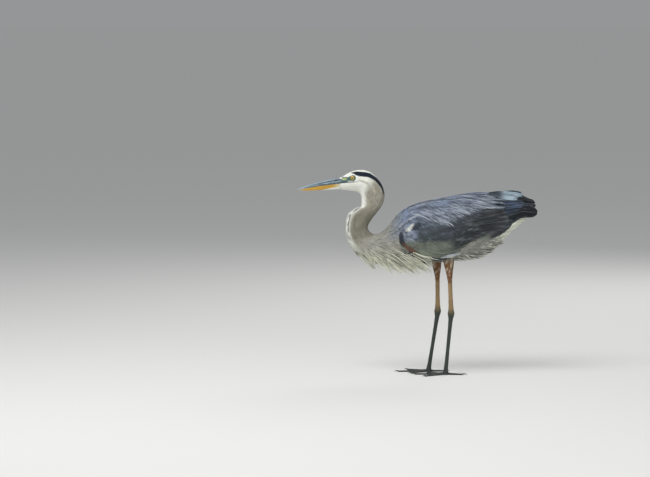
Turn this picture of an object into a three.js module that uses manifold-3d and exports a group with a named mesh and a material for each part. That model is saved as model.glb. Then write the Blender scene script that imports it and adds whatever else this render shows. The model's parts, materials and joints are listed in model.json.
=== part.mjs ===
// A great blue heron standing on the floor, life size, its neck drawn back in an S and its wings folded.
// Millimetres, +Z up, the bill towards -X and the bird's left side towards -Y. The floor is z = 0.
// Each sub-part is a closed loft out to the tips of its feathers, parted from its neighbours by a thin gap.
import * as THREE from 'three';
import { mergeVertices } from 'three/addons/utils/BufferGeometryUtils.js';
import Module from 'manifold-3d';

const { lerp, smoothstep, clamp, degToRad, radToDeg } = THREE.MathUtils;
const wasm = await Module();
wasm.setup();

const GAP = 0.3; // clear space between two pieces that meet
const REACH = 384; // from the middle to the tip of the bill, and to the tip of the wing

// The body from the face to the rump: points [x, z] on the nape-and-back line and on the throat-and-belly line,
// the half width between them, and how much wider the upper half is than the lower.
const BODY = [
  { back: [-243, 630.5], belly: [-250, 591.5], half: 10.5, top: -0.1 },
  { back: [-221, 644], belly: [-225, 588.5], half: 15, top: 0.05 },
  { back: [-200, 651.5], belly: [-205, 586.5], half: 18, top: 0.15 },
  { back: [-176, 653.5], belly: [-190, 582.5], half: 20, top: 0.15 },
  { back: [-152, 646.5], belly: [-183, 576], half: 21, top: 0.1 },
  { back: [-130, 628.5], belly: [-180, 566], half: 21, top: 0 },
  { back: [-113, 603.5], belly: [-179.5, 556], half: 20.5, top: 0 },
  { back: [-105.5, 572], belly: [-179.5, 546], half: 20.5, top: 0 },
  { back: [-112, 544], belly: [-182, 536], half: 20.5, top: 0 },
  { back: [-128, 520], belly: [-202, 530], half: 21, top: 0 },
  { back: [-147, 495.5], belly: [-223, 510], half: 22, top: 0 },
  { back: [-158.5, 473.5], belly: [-231, 475], half: 24, top: 0 },
  { back: [-153.5, 456.5], belly: [-228, 441.5], half: 26, top: 0 },
  { back: [-137.5, 448], belly: [-214.5, 409.5], half: 29, top: 0 },
  { back: [-118.5, 452], belly: [-189, 379], half: 35, top: 0.05 },
  { back: [-94.5, 473], belly: [-146, 358.5], half: 43, top: 0.1 },
  { back: [-65.5, 509], belly: [-88, 346], half: 52, top: 0.15 },
  { back: [-24, 539], belly: [-24, 347], half: 60, top: 0.15 },
  { back: [34, 557.5], belly: [40, 357], half: 64, top: 0.15 },
  { back: [98, 570.5], belly: [104, 368], half: 61, top: 0.1 },
  { back: [162, 580], belly: [166, 371], half: 50, top: -0.1 },
  { back: [215, 582], belly: [217, 387], half: 34, top: -0.25 },
  { back: [263, 567], belly: [265, 430], half: 24, top: -0.25 },
  { back: [303, 545], belly: [307, 468], half: 15, top: -0.2 },
  { back: [326, 527], belly: [332, 492], half: 7, top: 0 },
];
// The pieces that the body is parted into, by stations of BODY.
const HEAD = { name: 'head', from: 0, to: 4.3, rows: 9, around: 20, colour: 0xd0d0c4, roughness: 0.8 };
const TRUNK = { name: 'trunk', from: 15.6, to: 24, rows: 14, around: 24, colour: 0x69727f, roughness: 0.85 };
const NECK = [
  { name: 'neck_upper', from: 4.3, to: 8.2, rows: 6, around: 20, colour: 0xb0ab9c, roughness: 0.85 },
  { name: 'neck_middle', from: 8.2, to: 10.8, rows: 4, around: 20, colour: 0x9c968a, roughness: 0.85 },
  { name: 'neck_bend', from: 10.8, to: 13.25, rows: 5, around: 20, colour: 0x8c877a, roughness: 0.85 },
  { name: 'neck_base', from: 13.25, to: 15.6, rows: 4, around: 24, colour: 0x93938a, roughness: 0.85 },
];

const EYE = { x: -207.4, z: 628.6, apart: 10.4, radius: 9.6 };

// The bill from its root in the face to its tip: the ridge above, the gape line that parts its halves, the
// keel below, and its half width. Its root leans forward as it comes down.
const BILL = [
  { x: -243.4, ridge: 630, gape: 611, keel: 591.8, half: 9.8 },
  { x: -273, ridge: 625, gape: 607.6, keel: 590.6, half: 7.8 },
  { x: -318, ridge: 614.4, gape: 601.4, keel: 588.6, half: 5.4 },
  { x: -350, ridge: 604.8, gape: 595.8, keel: 587.6, half: 3.5 },
  { x: -370, ridge: 597.4, gape: 592.2, keel: 587.8, half: 1.9 },
  { x: -REACH, ridge: 591, gape: 590, keel: 589, half: 0.5 },
];
const BILL_RAKE = 0.18;
const BILL_SIDES = { lift: 0.8, draw: 0.25 }; // how full its sides are, and how far they draw in from the gape
const BILL_MESH = { rows: 8, around: 12 };

// A folded wing from its bend to the tips of its primaries: its upper and lower edge as [out, up], how far it
// bulges beyond the line between them, and how thick it is.
const WING = [
  { x: -61, top: [53, 452], bottom: [52, 430], bulge: 2, thick: 5 },
  { x: -55, top: [55, 468], bottom: [53, 417], bulge: 5, thick: 12 },
  { x: -38, top: [55, 487], bottom: [51, 405], bulge: 9, thick: 14 },
  { x: -8, top: [55, 506], bottom: [46, 387], bulge: 14, thick: 15 },
  { x: 40, top: [54, 522], bottom: [39, 375], bulge: 20, thick: 15 },
  { x: 104, top: [48, 540], bottom: [34, 374.5], bulge: 23, thick: 14 },
  { x: 168, top: [34, 557], bottom: [33, 410], bulge: 22, thick: 12 },
  { x: 232, top: [15, 568], bottom: [31, 437], bulge: 19, thick: 10 },
  { x: 280, top: [9, 571], bottom: [27, 459], bulge: 13, thick: 8 },
  { x: 328, top: [7, 564], bottom: [24, 494], bulge: 8, thick: 6 },
  { x: 366, top: [9, 547], bottom: [20, 502], bulge: 4, thick: 4 },
  { x: REACH, top: [14, 530], bottom: [17, 514], bulge: 1, thick: 2.4 },
];
// Every second row of a wing piece is the notch between two feather tips.
const WING_PIECES = [
  { name: 'shoulder', from: 0, to: 4.2, rows: 7, colour: 0x6c7480 },
  { name: 'fold', from: 4.2, to: 7.2, rows: 10, colour: 0x5a6069 },
  { name: 'primaries', from: 7.2, to: 11, rows: 8, colour: 0x32373d },
];
const WING_AROUND = 16;
const WING_EDGE = 0.55; // how blunt the upper and lower edges are
const SHARP_GROWTH = 4; // how much further a sharp edge grows, so that both of its faces keep their distance
const NOTCH = { depth: 4, from: 20, full: 150 }; // the notches deepen between these places along X
const RIGHT_WING_LIFT = degToRad(3.6); // the right wing is held higher than the left one
const SHOULDER = [-20, 450];

// The tail is widest at a share of its length, droops to its sides, and ends in a row of rounded tips.
const TAIL = {
  root: [215, 505], tip: [371, 535], narrow: 15, wide: 24, end: 22, widest: 0.6,
  thick: 2.5, thin: 1.1, droop: 0.006, rows: 6, around: 20,
};
const TAIL_TIPS = { round: 7, scallop: 2.5, quills: 6, from: 0.75 };

// Plumes hang from the breast in three columns, each from its own root on the belly line to its own tip.
const PLUMES = { count: 13, firstRoot: 14.1, lastRoot: 17.2, firstTip: -166, lastTip: 56, spread: 11 };
const PLUME_TIPS = { high: 345, low: 303, curve: 3.4, stagger: 5 };
const PLUME = { wide: 5, deep: 8, end: 0.6, sag: 6, rows: 3, around: 6 };
const PLUME_BED = { from: 13.9, to: 17.4, wide: 17, deep: 8, blunt: 0.06, rows: 6, around: 10 };

// Each leg, by points [x, out, z] down its line, and the place [x, out] of its foot.
const LEGS = [
  { side: 'left', sign: -1, hip: [94, 33, 412], knee: [103, 36, 297], heel: [107, 37, 196], foot: [89, 38] },
  { side: 'right', sign: 1, hip: [58, 33, 412], knee: [66, 36, 297], heel: [67, 37, 192], foot: [37, 38] },
];
// Oval sections down each piece of a leg: half depth along X and half width along Y, at shares of its length.
const THIGH = [
  { at: 0, deep: 21, wide: 17 }, { at: 0.38, deep: 18, wide: 15 }, { at: 0.62, deep: 13.5, wide: 11.5 },
  { at: 0.85, deep: 8.6, wide: 7.8 }, { at: 1, deep: 6.9, wide: 6.2 },
];
const SHANK = [
  { at: 0, deep: 6.6, wide: 5.8 }, { at: 0.5, deep: 6.5, wide: 5.6 }, { at: 1, deep: 8.4, wide: 7 },
];
const ANKLE = [
  { at: 0, deep: 8.6, wide: 7.1 }, { at: 0.35, deep: 10.8, wide: 8.2 }, { at: 0.7, deep: 9.6, wide: 7.6 },
  { at: 1, deep: 7.4, wide: 6 },
];
const TARSUS = [
  { at: 0, deep: 7.2, wide: 5.8 }, { at: 0.17, deep: 6.1, wide: 4.9 }, { at: 0.6, deep: 5.4, wide: 4.5 },
  { at: 1, deep: 6.8, wide: 6.2 },
];
const ANKLE_HALF = 13; // half height of the ankle
const THIGH_MESH = { rows: 7, around: 14 };
const LEG_AROUND = 10;

const FOOT = { radius: 10.5, neck: 7, height: 15, rows: 2, around: 14 };
// Toes by their angle from straight ahead towards the outside, with their lengths and their claws' lengths.
const TOES = [
  { name: 'inner', turn: -37, length: 72, claw: 12 },
  { name: 'middle', turn: -2, length: 98, claw: 13 },
  { name: 'outer', turn: 35, length: 82, claw: 11 },
  { name: 'hind', turn: 172, length: 56, claw: 16 },
];
const TOE = { start: 10.8, root: 3.4, thick: 4.6, tip: 2.9, pad: 0.5, pads: 3, rows: 8, around: 8 };
const TOE_RISE = { root: 8.4, share: 1.35, by: 0.3, axis: 0.42 }; // how high it stands, and where its axis lies
const TOE_SPREAD = 0.18; // the share of a toe over which it widens from the foot
const CLAW = { root: 2.1, tip: 0.35, taper: 1.3, height: 2.9, arch: 1.4, drop: 2.3, rows: 3, around: 6 };

const paint = (colour, roughness) => new THREE.MeshStandardMaterial({ color: colour, roughness, metalness: 0 });
const FLIGHT = 0.75;
const SCALY = 0.55;
const HORNY = 0.35;

const group = new THREE.Group();

// ---- solids ----
// A closed tube whose points are placed one by one by place(point, along, round, out), with along from 0 to 1
// down the tube, round in radians, and out 1 on its wall and 0 at the middle of its two ends.
function formed({ rows, around }, place) {
  const geometry = new THREE.CylinderGeometry(1, 1, 1, around, rows);
  const position = geometry.getAttribute('position');
  const point = new THREE.Vector3();
  for (let i = 0; i < position.count; i++) {
    point.fromBufferAttribute(position, i);
    place(point, point.y + 0.5, Math.atan2(point.z, point.x), Math.hypot(point.x, point.z));
    position.setXYZ(i, point.x, point.y, point.z);
  }
  return solidOf(geometry);
}

// A three.js geometry as a solid that faces outwards.
function solidOf(geometry) {
  geometry.deleteAttribute('normal');
  geometry.deleteAttribute('uv');
  const merged = mergeVertices(geometry, 1e-4);
  const vertProperties = new Float32Array(merged.getAttribute('position').array);
  const triVerts = new Uint32Array(merged.index.array);
  const solid = new wasm.Manifold(new wasm.Mesh({ numProp: 3, vertProperties, triVerts }));
  if (solid.volume() > 0) return solid;
  return new wasm.Manifold(new wasm.Mesh({ numProp: 3, vertProperties, triVerts: triVerts.reverse() }));
}

const joined = (solids) => solids.reduce((all, solid) => all.add(solid));

// The largest of the bodies that a cut leaves.
const largest = (solid) => solid.decompose().sort((a, b) => b.volume() - a.volume())[0];

function add(name, solid, material) {
  const { vertProperties, triVerts } = solid.getMesh();
  const geometry = new THREE.BufferGeometry();
  geometry.setAttribute('position', new THREE.BufferAttribute(new Float32Array(vertProperties), 3));
  geometry.setIndex(new THREE.BufferAttribute(new Uint32Array(triVerts), 1));
  const mesh = new THREE.Mesh(geometry, material);
  mesh.name = name;
  group.add(mesh);
}

// A smooth run through rows of up to three numbers, read at a station number.
function smooth(rows) {
  const points = rows.map(([a, b, c = 0]) => new THREE.Vector3(a, b, c));
  const curve = new THREE.CatmullRomCurve3(points, false, 'catmullrom');
  return (station) => curve.getPoint(clamp(station / (rows.length - 1), 0, 1));
}

// A span with its front end moved back along the lines that it follows, so that it clears the piece before it.
function cleared(span, ...lines) {
  const step = 0.05;
  const runs = lines.map((line) => line(span.from + step).distanceTo(line(span.from)));
  return { ...span, from: span.from + (GAP * step) / Math.min(...runs) };
}

// ---- head, neck and trunk ----
const backLine = smooth(BODY.map((s) => s.back));
const bellyLine = smooth(BODY.map((s) => s.belly));
const girth = smooth(BODY.map((s) => [s.half, s.top]));

function bodySpan({ from, to, rows, around }, grow = 0) {
  return formed({ rows, around }, (point, along, round, out) => {
    const station = lerp(from, to, along);
    const back = backLine(station);
    const belly = bellyLine(station);
    const { x: half, y: top } = girth(station);
    const tall = back.distanceTo(belly) / 2;
    const up = 0.5 + (Math.cos(round) * out * (tall + grow)) / tall / 2;
    const side = Math.sin(round) * (1 + top * Math.cos(round)) * (half + grow) * out;
    point.set(lerp(belly.x, back.x, up), side, lerp(belly.y, back.y, up));
  });
}

const addSpan = (span, solid) => add(span.name, solid, paint(span.colour, span.roughness));

const sides = [['left', -1], ['right', 1]];
const eyeBall = (sign, radius) => solidOf(
  new THREE.SphereGeometry(radius, 12, 7).rotateX(Math.PI / 2).translate(EYE.x, sign * EYE.apart, EYE.z),
);

function addHeadAndNeck() {
  const sockets = joined(sides.map(([, sign]) => eyeBall(sign, EYE.radius + GAP)));
  addSpan(HEAD, bodySpan(HEAD).subtract(sockets));
  for (const [side, sign] of sides) add(`eye_${side}`, eyeBall(sign, EYE.radius), paint(0xc09020, 0.1));
  for (const span of NECK) addSpan(span, bodySpan(cleared(span, backLine, bellyLine)));
}

// ---- bill ----
const billEdges = smooth(BILL.map((s) => [s.x, s.ridge, s.gape]));
const billWidths = smooth(BILL.map((s) => [s.keel, s.half]));

// Each half of the bill is a dagger with a flat face at the gape.
function billHalf(upper) {
  return formed(BILL_MESH, (point, along, round, out) => {
    const station = along * (BILL.length - 1);
    const { x, y: ridge, z: gape } = billEdges(station);
    const { x: keel, y: half } = billWidths(station);
    const edge = gape + (upper ? GAP : -GAP) / 2;
    const rise = Math.max(0, Math.sin(round));
    const z = lerp(edge, upper ? ridge : keel, out ? rise ** BILL_SIDES.lift : 0.4);
    const across = Math.cos(round) * half * (1 - rise * BILL_SIDES.draw) * out;
    point.set(x - BILL_RAKE * (BILL[0].ridge - z) * (1 - along) ** 3, across, z);
  });
}

function addBill() {
  add('bill_upper', billHalf(true), paint(0x77806f, HORNY));
  add('bill_lower', billHalf(false), paint(0xc0a060, HORNY));
}

// ---- wings ----
const wingRun = smooth(WING.map((s) => [s.x, s.bulge, s.thick]));
const wingTop = smooth(WING.map((s) => s.top));
const wingBottom = smooth(WING.map((s) => s.bottom));

function wingSpan(sign, { from, to, rows }, grow = 0) {
  const solid = formed({ rows, around: WING_AROUND }, (point, along, round, out) => {
    const station = lerp(from, to, along);
    const { x, y: bulge, z: thick } = wingRun(station);
    const top = wingTop(station);
    const bottom = wingBottom(station);
    // The ring runs down the outer face and back up the inner one.
    const down = out ? Math.abs(round) / Math.PI : 0.5;
    const share = Math.sin(Math.PI * down);
    const notch = (Math.round(along * rows) % 2) * NOTCH.depth * smoothstep(x, NOTCH.from, NOTCH.full);
    const sharp = share < 1e-6;
    const deep = sharp ? 0 : Math.sign(round) * ((share ** WING_EDGE * thick) / 2 + grow);
    // A sharp edge grows on along the line that its two faces bisect.
    const lean = bottom.x - top.x + Math.PI * bulge * Math.cos(Math.PI * down);
    const run = new THREE.Vector2(lean, bottom.y - top.y);
    run.setLength(sharp ? grow * SHARP_GROWTH * Math.sign(down - 0.5) : 0);
    const y = lerp(top.x, bottom.x, down) + bulge * share + deep * out + run.x;
    point.set(x, sign * y, lerp(top.y, bottom.y, down) + notch * down ** 2 + run.y);
  });
  return sign > 0 ? lifted(solid) : solid;
}

function lifted(solid) {
  const [x, z] = SHOULDER;
  return solid.translate([-x, 0, -z]).rotate([0, -radToDeg(RIGHT_WING_LIFT), 0]).translate([x, 0, z]);
}

function addWing(side, sign, trunk) {
  for (const piece of WING_PIECES) {
    const solid = largest(wingSpan(sign, cleared(piece, wingRun)).subtract(trunk));
    add(`wing_${side}_${piece.name}`, solid, paint(piece.colour, FLIGHT));
  }
}

// ---- tail ----
function tailFan() {
  return formed(TAIL, (point, along, round, out) => {
    const half = along < TAIL.widest
      ? lerp(TAIL.narrow, TAIL.wide, along / TAIL.widest)
      : lerp(TAIL.wide, TAIL.end, (along - TAIL.widest) / (1 - TAIL.widest));
    const across = Math.cos(round) * out;
    const { round: fan, scallop, quills, from } = TAIL_TIPS;
    const back = fan * across ** 2 + scallop * Math.abs(Math.sin(across * Math.PI * quills));
    const reach = along - (back / (TAIL.tip[0] - TAIL.root[0])) * smoothstep(along, from, 1);
    const sag = TAIL.droop * (across * half) ** 2;
    const rise = Math.sin(round) * lerp(TAIL.thick, TAIL.thin, along) * out;
    point.set(
      lerp(TAIL.root[0], TAIL.tip[0], reach),
      across * half,
      lerp(TAIL.root[1], TAIL.tip[1], reach) - sag + rise,
    );
  });
}

// ---- legs ----
// A tube down a line of points, with oval sections given at shares of its length.
function limb(line, sections, { rows, around }, grow = 0) {
  const path = new THREE.CatmullRomCurve3(line, false, 'centripetal');
  return formed({ rows, around }, (point, along, round, out) => {
    const next = Math.max(1, sections.findIndex((s) => s.at >= along - 1e-6));
    const [above, below] = [sections[next - 1], sections[next]];
    const share = smoothstep(along, above.at, below.at);
    const deep = lerp(above.deep, below.deep, share) + grow;
    const wide = lerp(above.wide, below.wide, share) + grow;
    const middle = path.getPoint(along);
    point.set(middle.x + Math.cos(round) * deep * out, middle.y + Math.sin(round) * wide * out, middle.z);
  });
}

// The point at height z on the straight line between two points of a leg.
function pointAt(from, to, z, sign) {
  const share = (from[2] - z) / (from[2] - to[2]);
  return new THREE.Vector3(lerp(from[0], to[0], share), sign * lerp(from[1], to[1], share), z);
}

function thighOf({ sign, hip, knee }, grow = 0) {
  const line = [hip[2], knee[2]].map((z) => pointAt(hip, knee, z, sign));
  return limb(line, THIGH, THIGH_MESH, grow);
}

function addShin({ side, sign, knee, heel, foot }) {
  const sole = [...foot, FOOT.height];
  const top = heel[2] + ANKLE_HALF;
  const low = heel[2] - ANKLE_HALF;
  const shank = [pointAt(knee, heel, knee[2] - GAP, sign), pointAt(knee, heel, top, sign)];
  const bend = new THREE.Vector3(heel[0], sign * heel[1], heel[2]);
  const ankle = [pointAt(knee, heel, top - GAP, sign), bend, pointAt(heel, sole, low, sign)];
  const tarsus = [pointAt(heel, sole, low - GAP, sign), pointAt(heel, sole, FOOT.height + GAP, sign)];
  add(`shank_${side}`, limb(shank, SHANK, { rows: 3, around: LEG_AROUND }), paint(0x97836a, SCALY));
  add(`ankle_${side}`, limb(ankle, ANKLE, { rows: 6, around: LEG_AROUND }), paint(0x6c6a58, SCALY));
  add(`tarsus_${side}`, limb(tarsus, TARSUS, { rows: 5, around: LEG_AROUND }), paint(0x40483f, SCALY));
}

function addFoot({ side, sign, foot }) {
  const hub = formed(FOOT, (point, along, round, out) => {
    const radius = lerp(FOOT.radius, FOOT.neck, along * along) * out;
    const z = along * FOOT.height;
    point.set(foot[0] + Math.cos(round) * radius, sign * foot[1] + Math.sin(round) * radius, z);
  });
  add(`foot_${side}`, hub, paint(0x333a36, SCALY));
  for (const digit of TOES) addToe(side, sign, foot, digit);
}

// A toe lies along the floor on a flat sole, with a pad under each joint. Its claw hooks down beyond it.
function addToe(side, sign, foot, { name, turn, length, claw }) {
  const angle = degToRad(turn);
  const ahead = [-Math.cos(angle), sign * Math.sin(angle)];
  const place = (point, reach, across, z) => point.set(
    foot[0] + ahead[0] * reach - ahead[1] * across,
    sign * foot[1] + ahead[1] * reach + ahead[0] * across,
    z,
  );
  const toe = formed(TOE, (point, along, round, out) => {
    const grown = smoothstep(along, 0, TOE_SPREAD);
    const taper = lerp(TOE.thick, TOE.tip, along);
    const pad = TOE.pad * Math.cos(along * Math.PI * 2 * TOE.pads) * grown;
    const radius = lerp(TOE.root, taper, grown) + pad;
    const high = lerp(TOE_RISE.root, taper * TOE_RISE.share, smoothstep(along, 0, TOE_RISE.by));
    const z = Math.max(0, high * lerp(TOE_RISE.axis, 1, Math.sin(round) * out));
    place(point, lerp(TOE.start, length, along), Math.cos(round) * radius * out, z);
  });
  const hook = formed(CLAW, (point, along, round, out) => {
    const radius = lerp(CLAW.root, CLAW.tip, along ** CLAW.taper) * out;
    const z = CLAW.height + CLAW.arch * Math.sin(along * Math.PI) - CLAW.drop * along * along;
    place(point, length + GAP + claw * along, Math.cos(round) * radius, z + Math.sin(round) * radius);
  });
  add(`toe_${side}_${name}`, toe, paint(0x2f3633, SCALY));
  add(`claw_${side}_${name}`, hook, paint(0x1d1f20, HORNY));
}

// ---- breast plumes ----
function plumeBed() {
  return formed(PLUME_BED, (point, along, round, out) => {
    const { x, y } = bellyLine(lerp(PLUME_BED.from, PLUME_BED.to, along));
    const full = Math.sqrt(Math.sin(Math.PI * lerp(PLUME_BED.blunt, 1 - PLUME_BED.blunt, along))) * out;
    const up = Math.sin(round) * PLUME_BED.deep * full;
    point.set(x + up / 2, Math.cos(round) * PLUME_BED.wide * full, y + up);
  });
}

function plume(index) {
  const share = index / (PLUMES.count - 1);
  const column = (index % 3) - 1;
  const root = bellyLine(lerp(PLUMES.firstRoot, PLUMES.lastRoot, share));
  const tipX = lerp(PLUMES.firstTip, PLUMES.lastTip, share);
  const fall = (PLUME_TIPS.high - PLUME_TIPS.low) * (1 - (1 - share) ** PLUME_TIPS.curve);
  const tipZ = PLUME_TIPS.high - fall + PLUME_TIPS.stagger * Math.abs(column);
  return formed(PLUME, (point, along, round, out) => {
    const full = Math.sqrt(1 - along) * (0.75 + along / 4);
    const deep = (PLUME.deep * full + PLUME.end) * out;
    const wide = (PLUME.wide * full + PLUME.end) * out;
    point.set(
      lerp(root.x, tipX, along) + (Math.cos(round) * deep) / 2,
      column * PLUMES.spread * (1 - along / 3) + Math.sin(round) * wide,
      lerp(root.y, tipZ, along) - PLUME.sag * Math.sin(Math.PI * along) + Math.cos(round) * deep,
    );
  });
}

function breastPlumes() {
  const plumes = Array.from({ length: PLUMES.count }, (_, index) => plume(index));
  return joined([plumeBed(), ...plumes]);
}

// ---- assembly ----
const trunkClearance = bodySpan(TRUNK, GAP);
const thighClearance = joined(LEGS.map((leg) => thighOf(leg, GAP)));
const wingClearance = joined(
  sides.flatMap(([, sign]) => WING_PIECES.map((piece) => wingSpan(sign, piece, GAP))),
);
const chestClearance = joined([trunkClearance, ...NECK.map((span) => bodySpan(span, GAP))]);

addHeadAndNeck();
addBill();
addSpan(TRUNK, bodySpan(cleared(TRUNK, backLine, bellyLine)));
for (const [side, sign] of sides) addWing(side, sign, trunkClearance);
add('tail', largest(tailFan().subtract(trunkClearance).subtract(wingClearance)), paint(0x474d55, FLIGHT));
for (const leg of LEGS) {
  const thigh = thighOf(leg).subtract(trunkClearance).subtract(wingClearance);
  add(`thigh_${leg.side}`, largest(thigh), paint(0x8f7a66, 0.85));
  addShin(leg);
  addFoot(leg);
}
const plumes = breastPlumes().subtract(chestClearance).subtract(thighClearance).subtract(wingClearance);
add('breast_plumes', largest(plumes), paint(0xb9b9a6, 0.85));

export default group;
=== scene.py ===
"""A great blue heron, life size: one skin, bill, eyes and claws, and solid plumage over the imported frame."""

import json
import math
from types import SimpleNamespace

import bmesh
import bpy
import numpy as np
from mathutils import Matrix, Vector, kdtree

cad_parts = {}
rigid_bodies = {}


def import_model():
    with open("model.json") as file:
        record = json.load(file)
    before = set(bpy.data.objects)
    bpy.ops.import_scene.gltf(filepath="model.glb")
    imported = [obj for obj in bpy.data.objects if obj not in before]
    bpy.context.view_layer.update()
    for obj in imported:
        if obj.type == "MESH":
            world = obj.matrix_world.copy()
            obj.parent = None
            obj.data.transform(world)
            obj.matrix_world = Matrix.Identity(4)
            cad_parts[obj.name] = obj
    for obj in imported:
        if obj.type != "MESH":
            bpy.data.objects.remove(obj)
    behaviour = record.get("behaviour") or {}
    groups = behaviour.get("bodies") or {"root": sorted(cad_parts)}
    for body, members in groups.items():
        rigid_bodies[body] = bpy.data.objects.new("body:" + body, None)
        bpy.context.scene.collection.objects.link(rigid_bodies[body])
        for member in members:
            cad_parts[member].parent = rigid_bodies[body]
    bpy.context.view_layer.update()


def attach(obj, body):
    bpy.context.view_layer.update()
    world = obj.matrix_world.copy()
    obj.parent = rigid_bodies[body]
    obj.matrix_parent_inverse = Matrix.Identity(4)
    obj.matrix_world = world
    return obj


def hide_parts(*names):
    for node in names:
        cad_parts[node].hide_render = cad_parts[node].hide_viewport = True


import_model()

bl_info = {
    "name": "Heron Model",
    "version": (1, 0, 0),
    "blender": (4, 5, 0),
    "location": "3D View > Sidebar > Heron",
    "description": "Builds a life-size standing heron with solid feathers over one skin",
    "category": "Add Mesh",
}

MM = 0.001  # the tables below are in millimetres, and the meshes in metres
SIDES = (("left", -1), ("right", 1))

# ---- the forms of the body, in millimetres ----
# From the face to the rump: [x, z] on the nape-and-back line, [x, z] on the throat-and-belly line, the half
# width between them, and how much wider the upper half is than the lower.
BODY = (
    (-243, 630.5, -250, 591.5, 10.5, -0.1),
    (-221, 644, -225, 588.5, 15, 0.05),
    (-200, 651.5, -205, 586.5, 18, 0.15),
    (-176, 653.5, -190, 582.5, 20, 0.15),
    (-152, 646.5, -183, 576, 21, 0.1),
    (-130, 628.5, -180, 566, 21, 0),
    (-113, 603.5, -179.5, 556, 20.5, 0),
    (-105.5, 572, -179.5, 546, 20.5, 0),
    (-112, 544, -182, 536, 20.5, 0),
    (-128, 520, -202, 530, 21, 0),
    (-147, 495.5, -223, 510, 22, 0),
    (-158.5, 473.5, -231, 475, 24, 0),
    (-153.5, 456.5, -228, 441.5, 26, 0),
    (-137.5, 448, -214.5, 409.5, 29, 0),
    (-118.5, 452, -189, 379, 35, 0.05),
    (-94.5, 473, -146, 358.5, 43, 0.1),
    (-65.5, 509, -88, 346, 52, 0.15),
    (-24, 539, -24, 347, 60, 0.15),
    (34, 557.5, 40, 357, 64, 0.15),
    (98, 570.5, 104, 368, 61, 0.1),
    (162, 580, 166, 371, 50, -0.1),
    (215, 582, 217, 387, 34, -0.25),
    (263, 567, 265, 430, 24, -0.25),
    (303, 545, 307, 468, 15, -0.2),
    (326, 527, 332, 492, 7, 0),
)
BODY_END = len(BODY) - 1
ALL_ROUND = (0, math.tau)
# How deep the skin lies under the tips of the coat, by stations of BODY.
COAT_DEPTH = (
    (0, 1.7), (0.25, 0.4), (1, 0.6), (3, 0.8), (5, 1.1), (9, 1.6), (13, 2.6), (17, 4.5), (21, 4.5),
    (23, 3), (BODY_END, 2),
)
# Swells and hollows in the sides of the head: [x, z] of the middle, reach along X and Z, and rise.
HEAD_RELIEF = (
    (-229, 622, 8, 4, -1.7),  # the lore, before the eye
    (-209, 641, 13, 3, 1.1),  # the brow
    (-188, 603, 15, 9, 1.3),  # the cheek
    (-217, 615.6, 24, 1.1, -0.8),  # the corner of the mouth
    (-196, 630, 4, 8, -0.9),  # behind the eye
)

EYE = SimpleNamespace(x=-207.4, z=628.6, apart=10.4, radius=9.6, forward=12, upward=4)
LID = SimpleNamespace(long=8.4, high=7.3, thick=1.0, out=6.1)

# From the root of the bill to its tip: x, the ridge, the gape between its halves, the keel, the half width.
BILL = (
    (-243.4, 630, 611, 591.8, 9.8),
    (-273, 625, 607.6, 590.6, 7.8),
    (-318, 614.4, 601.4, 588.6, 5.4),
    (-350, 604.8, 595.8, 587.6, 3.5),
    (-370, 597.4, 592.2, 587.8, 1.9),
    (-384, 591, 590, 589, 0.5),
)
BILL_RAKE = 0.18
NOSTRIL = SimpleNamespace(x=-258, long=7, groove_end=-318, height=0.56, groove=0.9, deep=1.6)

# A folded wing from its bend to its tip: x, bulge, thickness, and [out, up] of its upper and lower edge.
WING = (
    (-61, 2, 5, 53, 452, 52, 430),
    (-55, 5, 12, 55, 468, 53, 417),
    (-38, 9, 14, 55, 487, 51, 405),
    (-8, 14, 15, 55, 506, 46, 387),
    (40, 20, 15, 54, 522, 39, 375),
    (104, 23, 14, 48, 540, 34, 374.5),
    (168, 22, 12, 34, 557, 33, 410),
    (232, 19, 10, 15, 568, 31, 437),
    (280, 13, 8, 9, 571, 27, 459),
    (328, 8, 6, 7, 564, 24, 496),
    (366, 4, 4, 9, 547, 20, 502),
    (384, 1, 2.4, 14, 530, 17, 514),
)
WING_END = len(WING) - 1
RIGHT_WING_LIFT = math.radians(3.6)
SHOULDER = (-20, 450)

TAIL = SimpleNamespace(root=(215, 505), tip=(371, 535), spread=24, count=12)

# Each leg by points [x, out, z] down its line, and its half depth and half width at heights above the floor.
LEFT_LEG_LINE = ((95, 17, 412), (98, 22, 375), (103, 36, 297), (107, 37, 196), (89, 38, 0))
RIGHT_LEG_LINE = ((58, 17, 412), (61, 22, 375), (66, 36, 297), (67, 37, 192), (37, 38, 0))
LEGS = {
    "left": SimpleNamespace(sign=-1, line=LEFT_LEG_LINE),
    "right": SimpleNamespace(sign=1, line=RIGHT_LEG_LINE),
}
LEG_TOP = LEFT_LEG_LINE[0][2]
LEG_GIRTH = (
    (0, 10.5, 10.5), (8, 8.6, 8.4), (16, 7, 6.4), (30, 6.2, 5.4), (82, 5.4, 4.5), (155, 6.1, 4.9),
    (180, 7.2, 5.8), (190, 9.6, 7.6), (198, 10.8, 8.2), (207, 8.6, 7.1), (222, 7.4, 6.3), (252, 6.5, 5.6),
    (290, 6.7, 5.9), (300, 7, 6.3), (314, 8.6, 7.8), (341, 13.5, 11), (368, 18, 12.5), (LEG_TOP, 21, 12),
)
THIGH_COAT = ((290, 0), (303, 0.8), (340, 1.6), (LEG_TOP, 2.2))  # how deep the skin lies, by height
FEATHERED_DOWN_TO = 296

TOES = (  # in the order of DIGITS: turn from straight ahead towards the outside, length, length of the claw
    (-37, 72, 12),
    (-2, 98, 13),
    (35, 82, 11),
    (172, 56, 16),
)
DIGITS = ("inner", "middle", "outer", "hind")
TOE = SimpleNamespace(
    start=4, root=3.4, thick=4.6, tip=2.9, pad=0.55, pads=3, high=8.4, share=1.35, axis=0.42,
)
CLAW = SimpleNamespace(root=2.3, tip=0.3, height=2.9, arch=1.6, drop=2.3)

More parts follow.
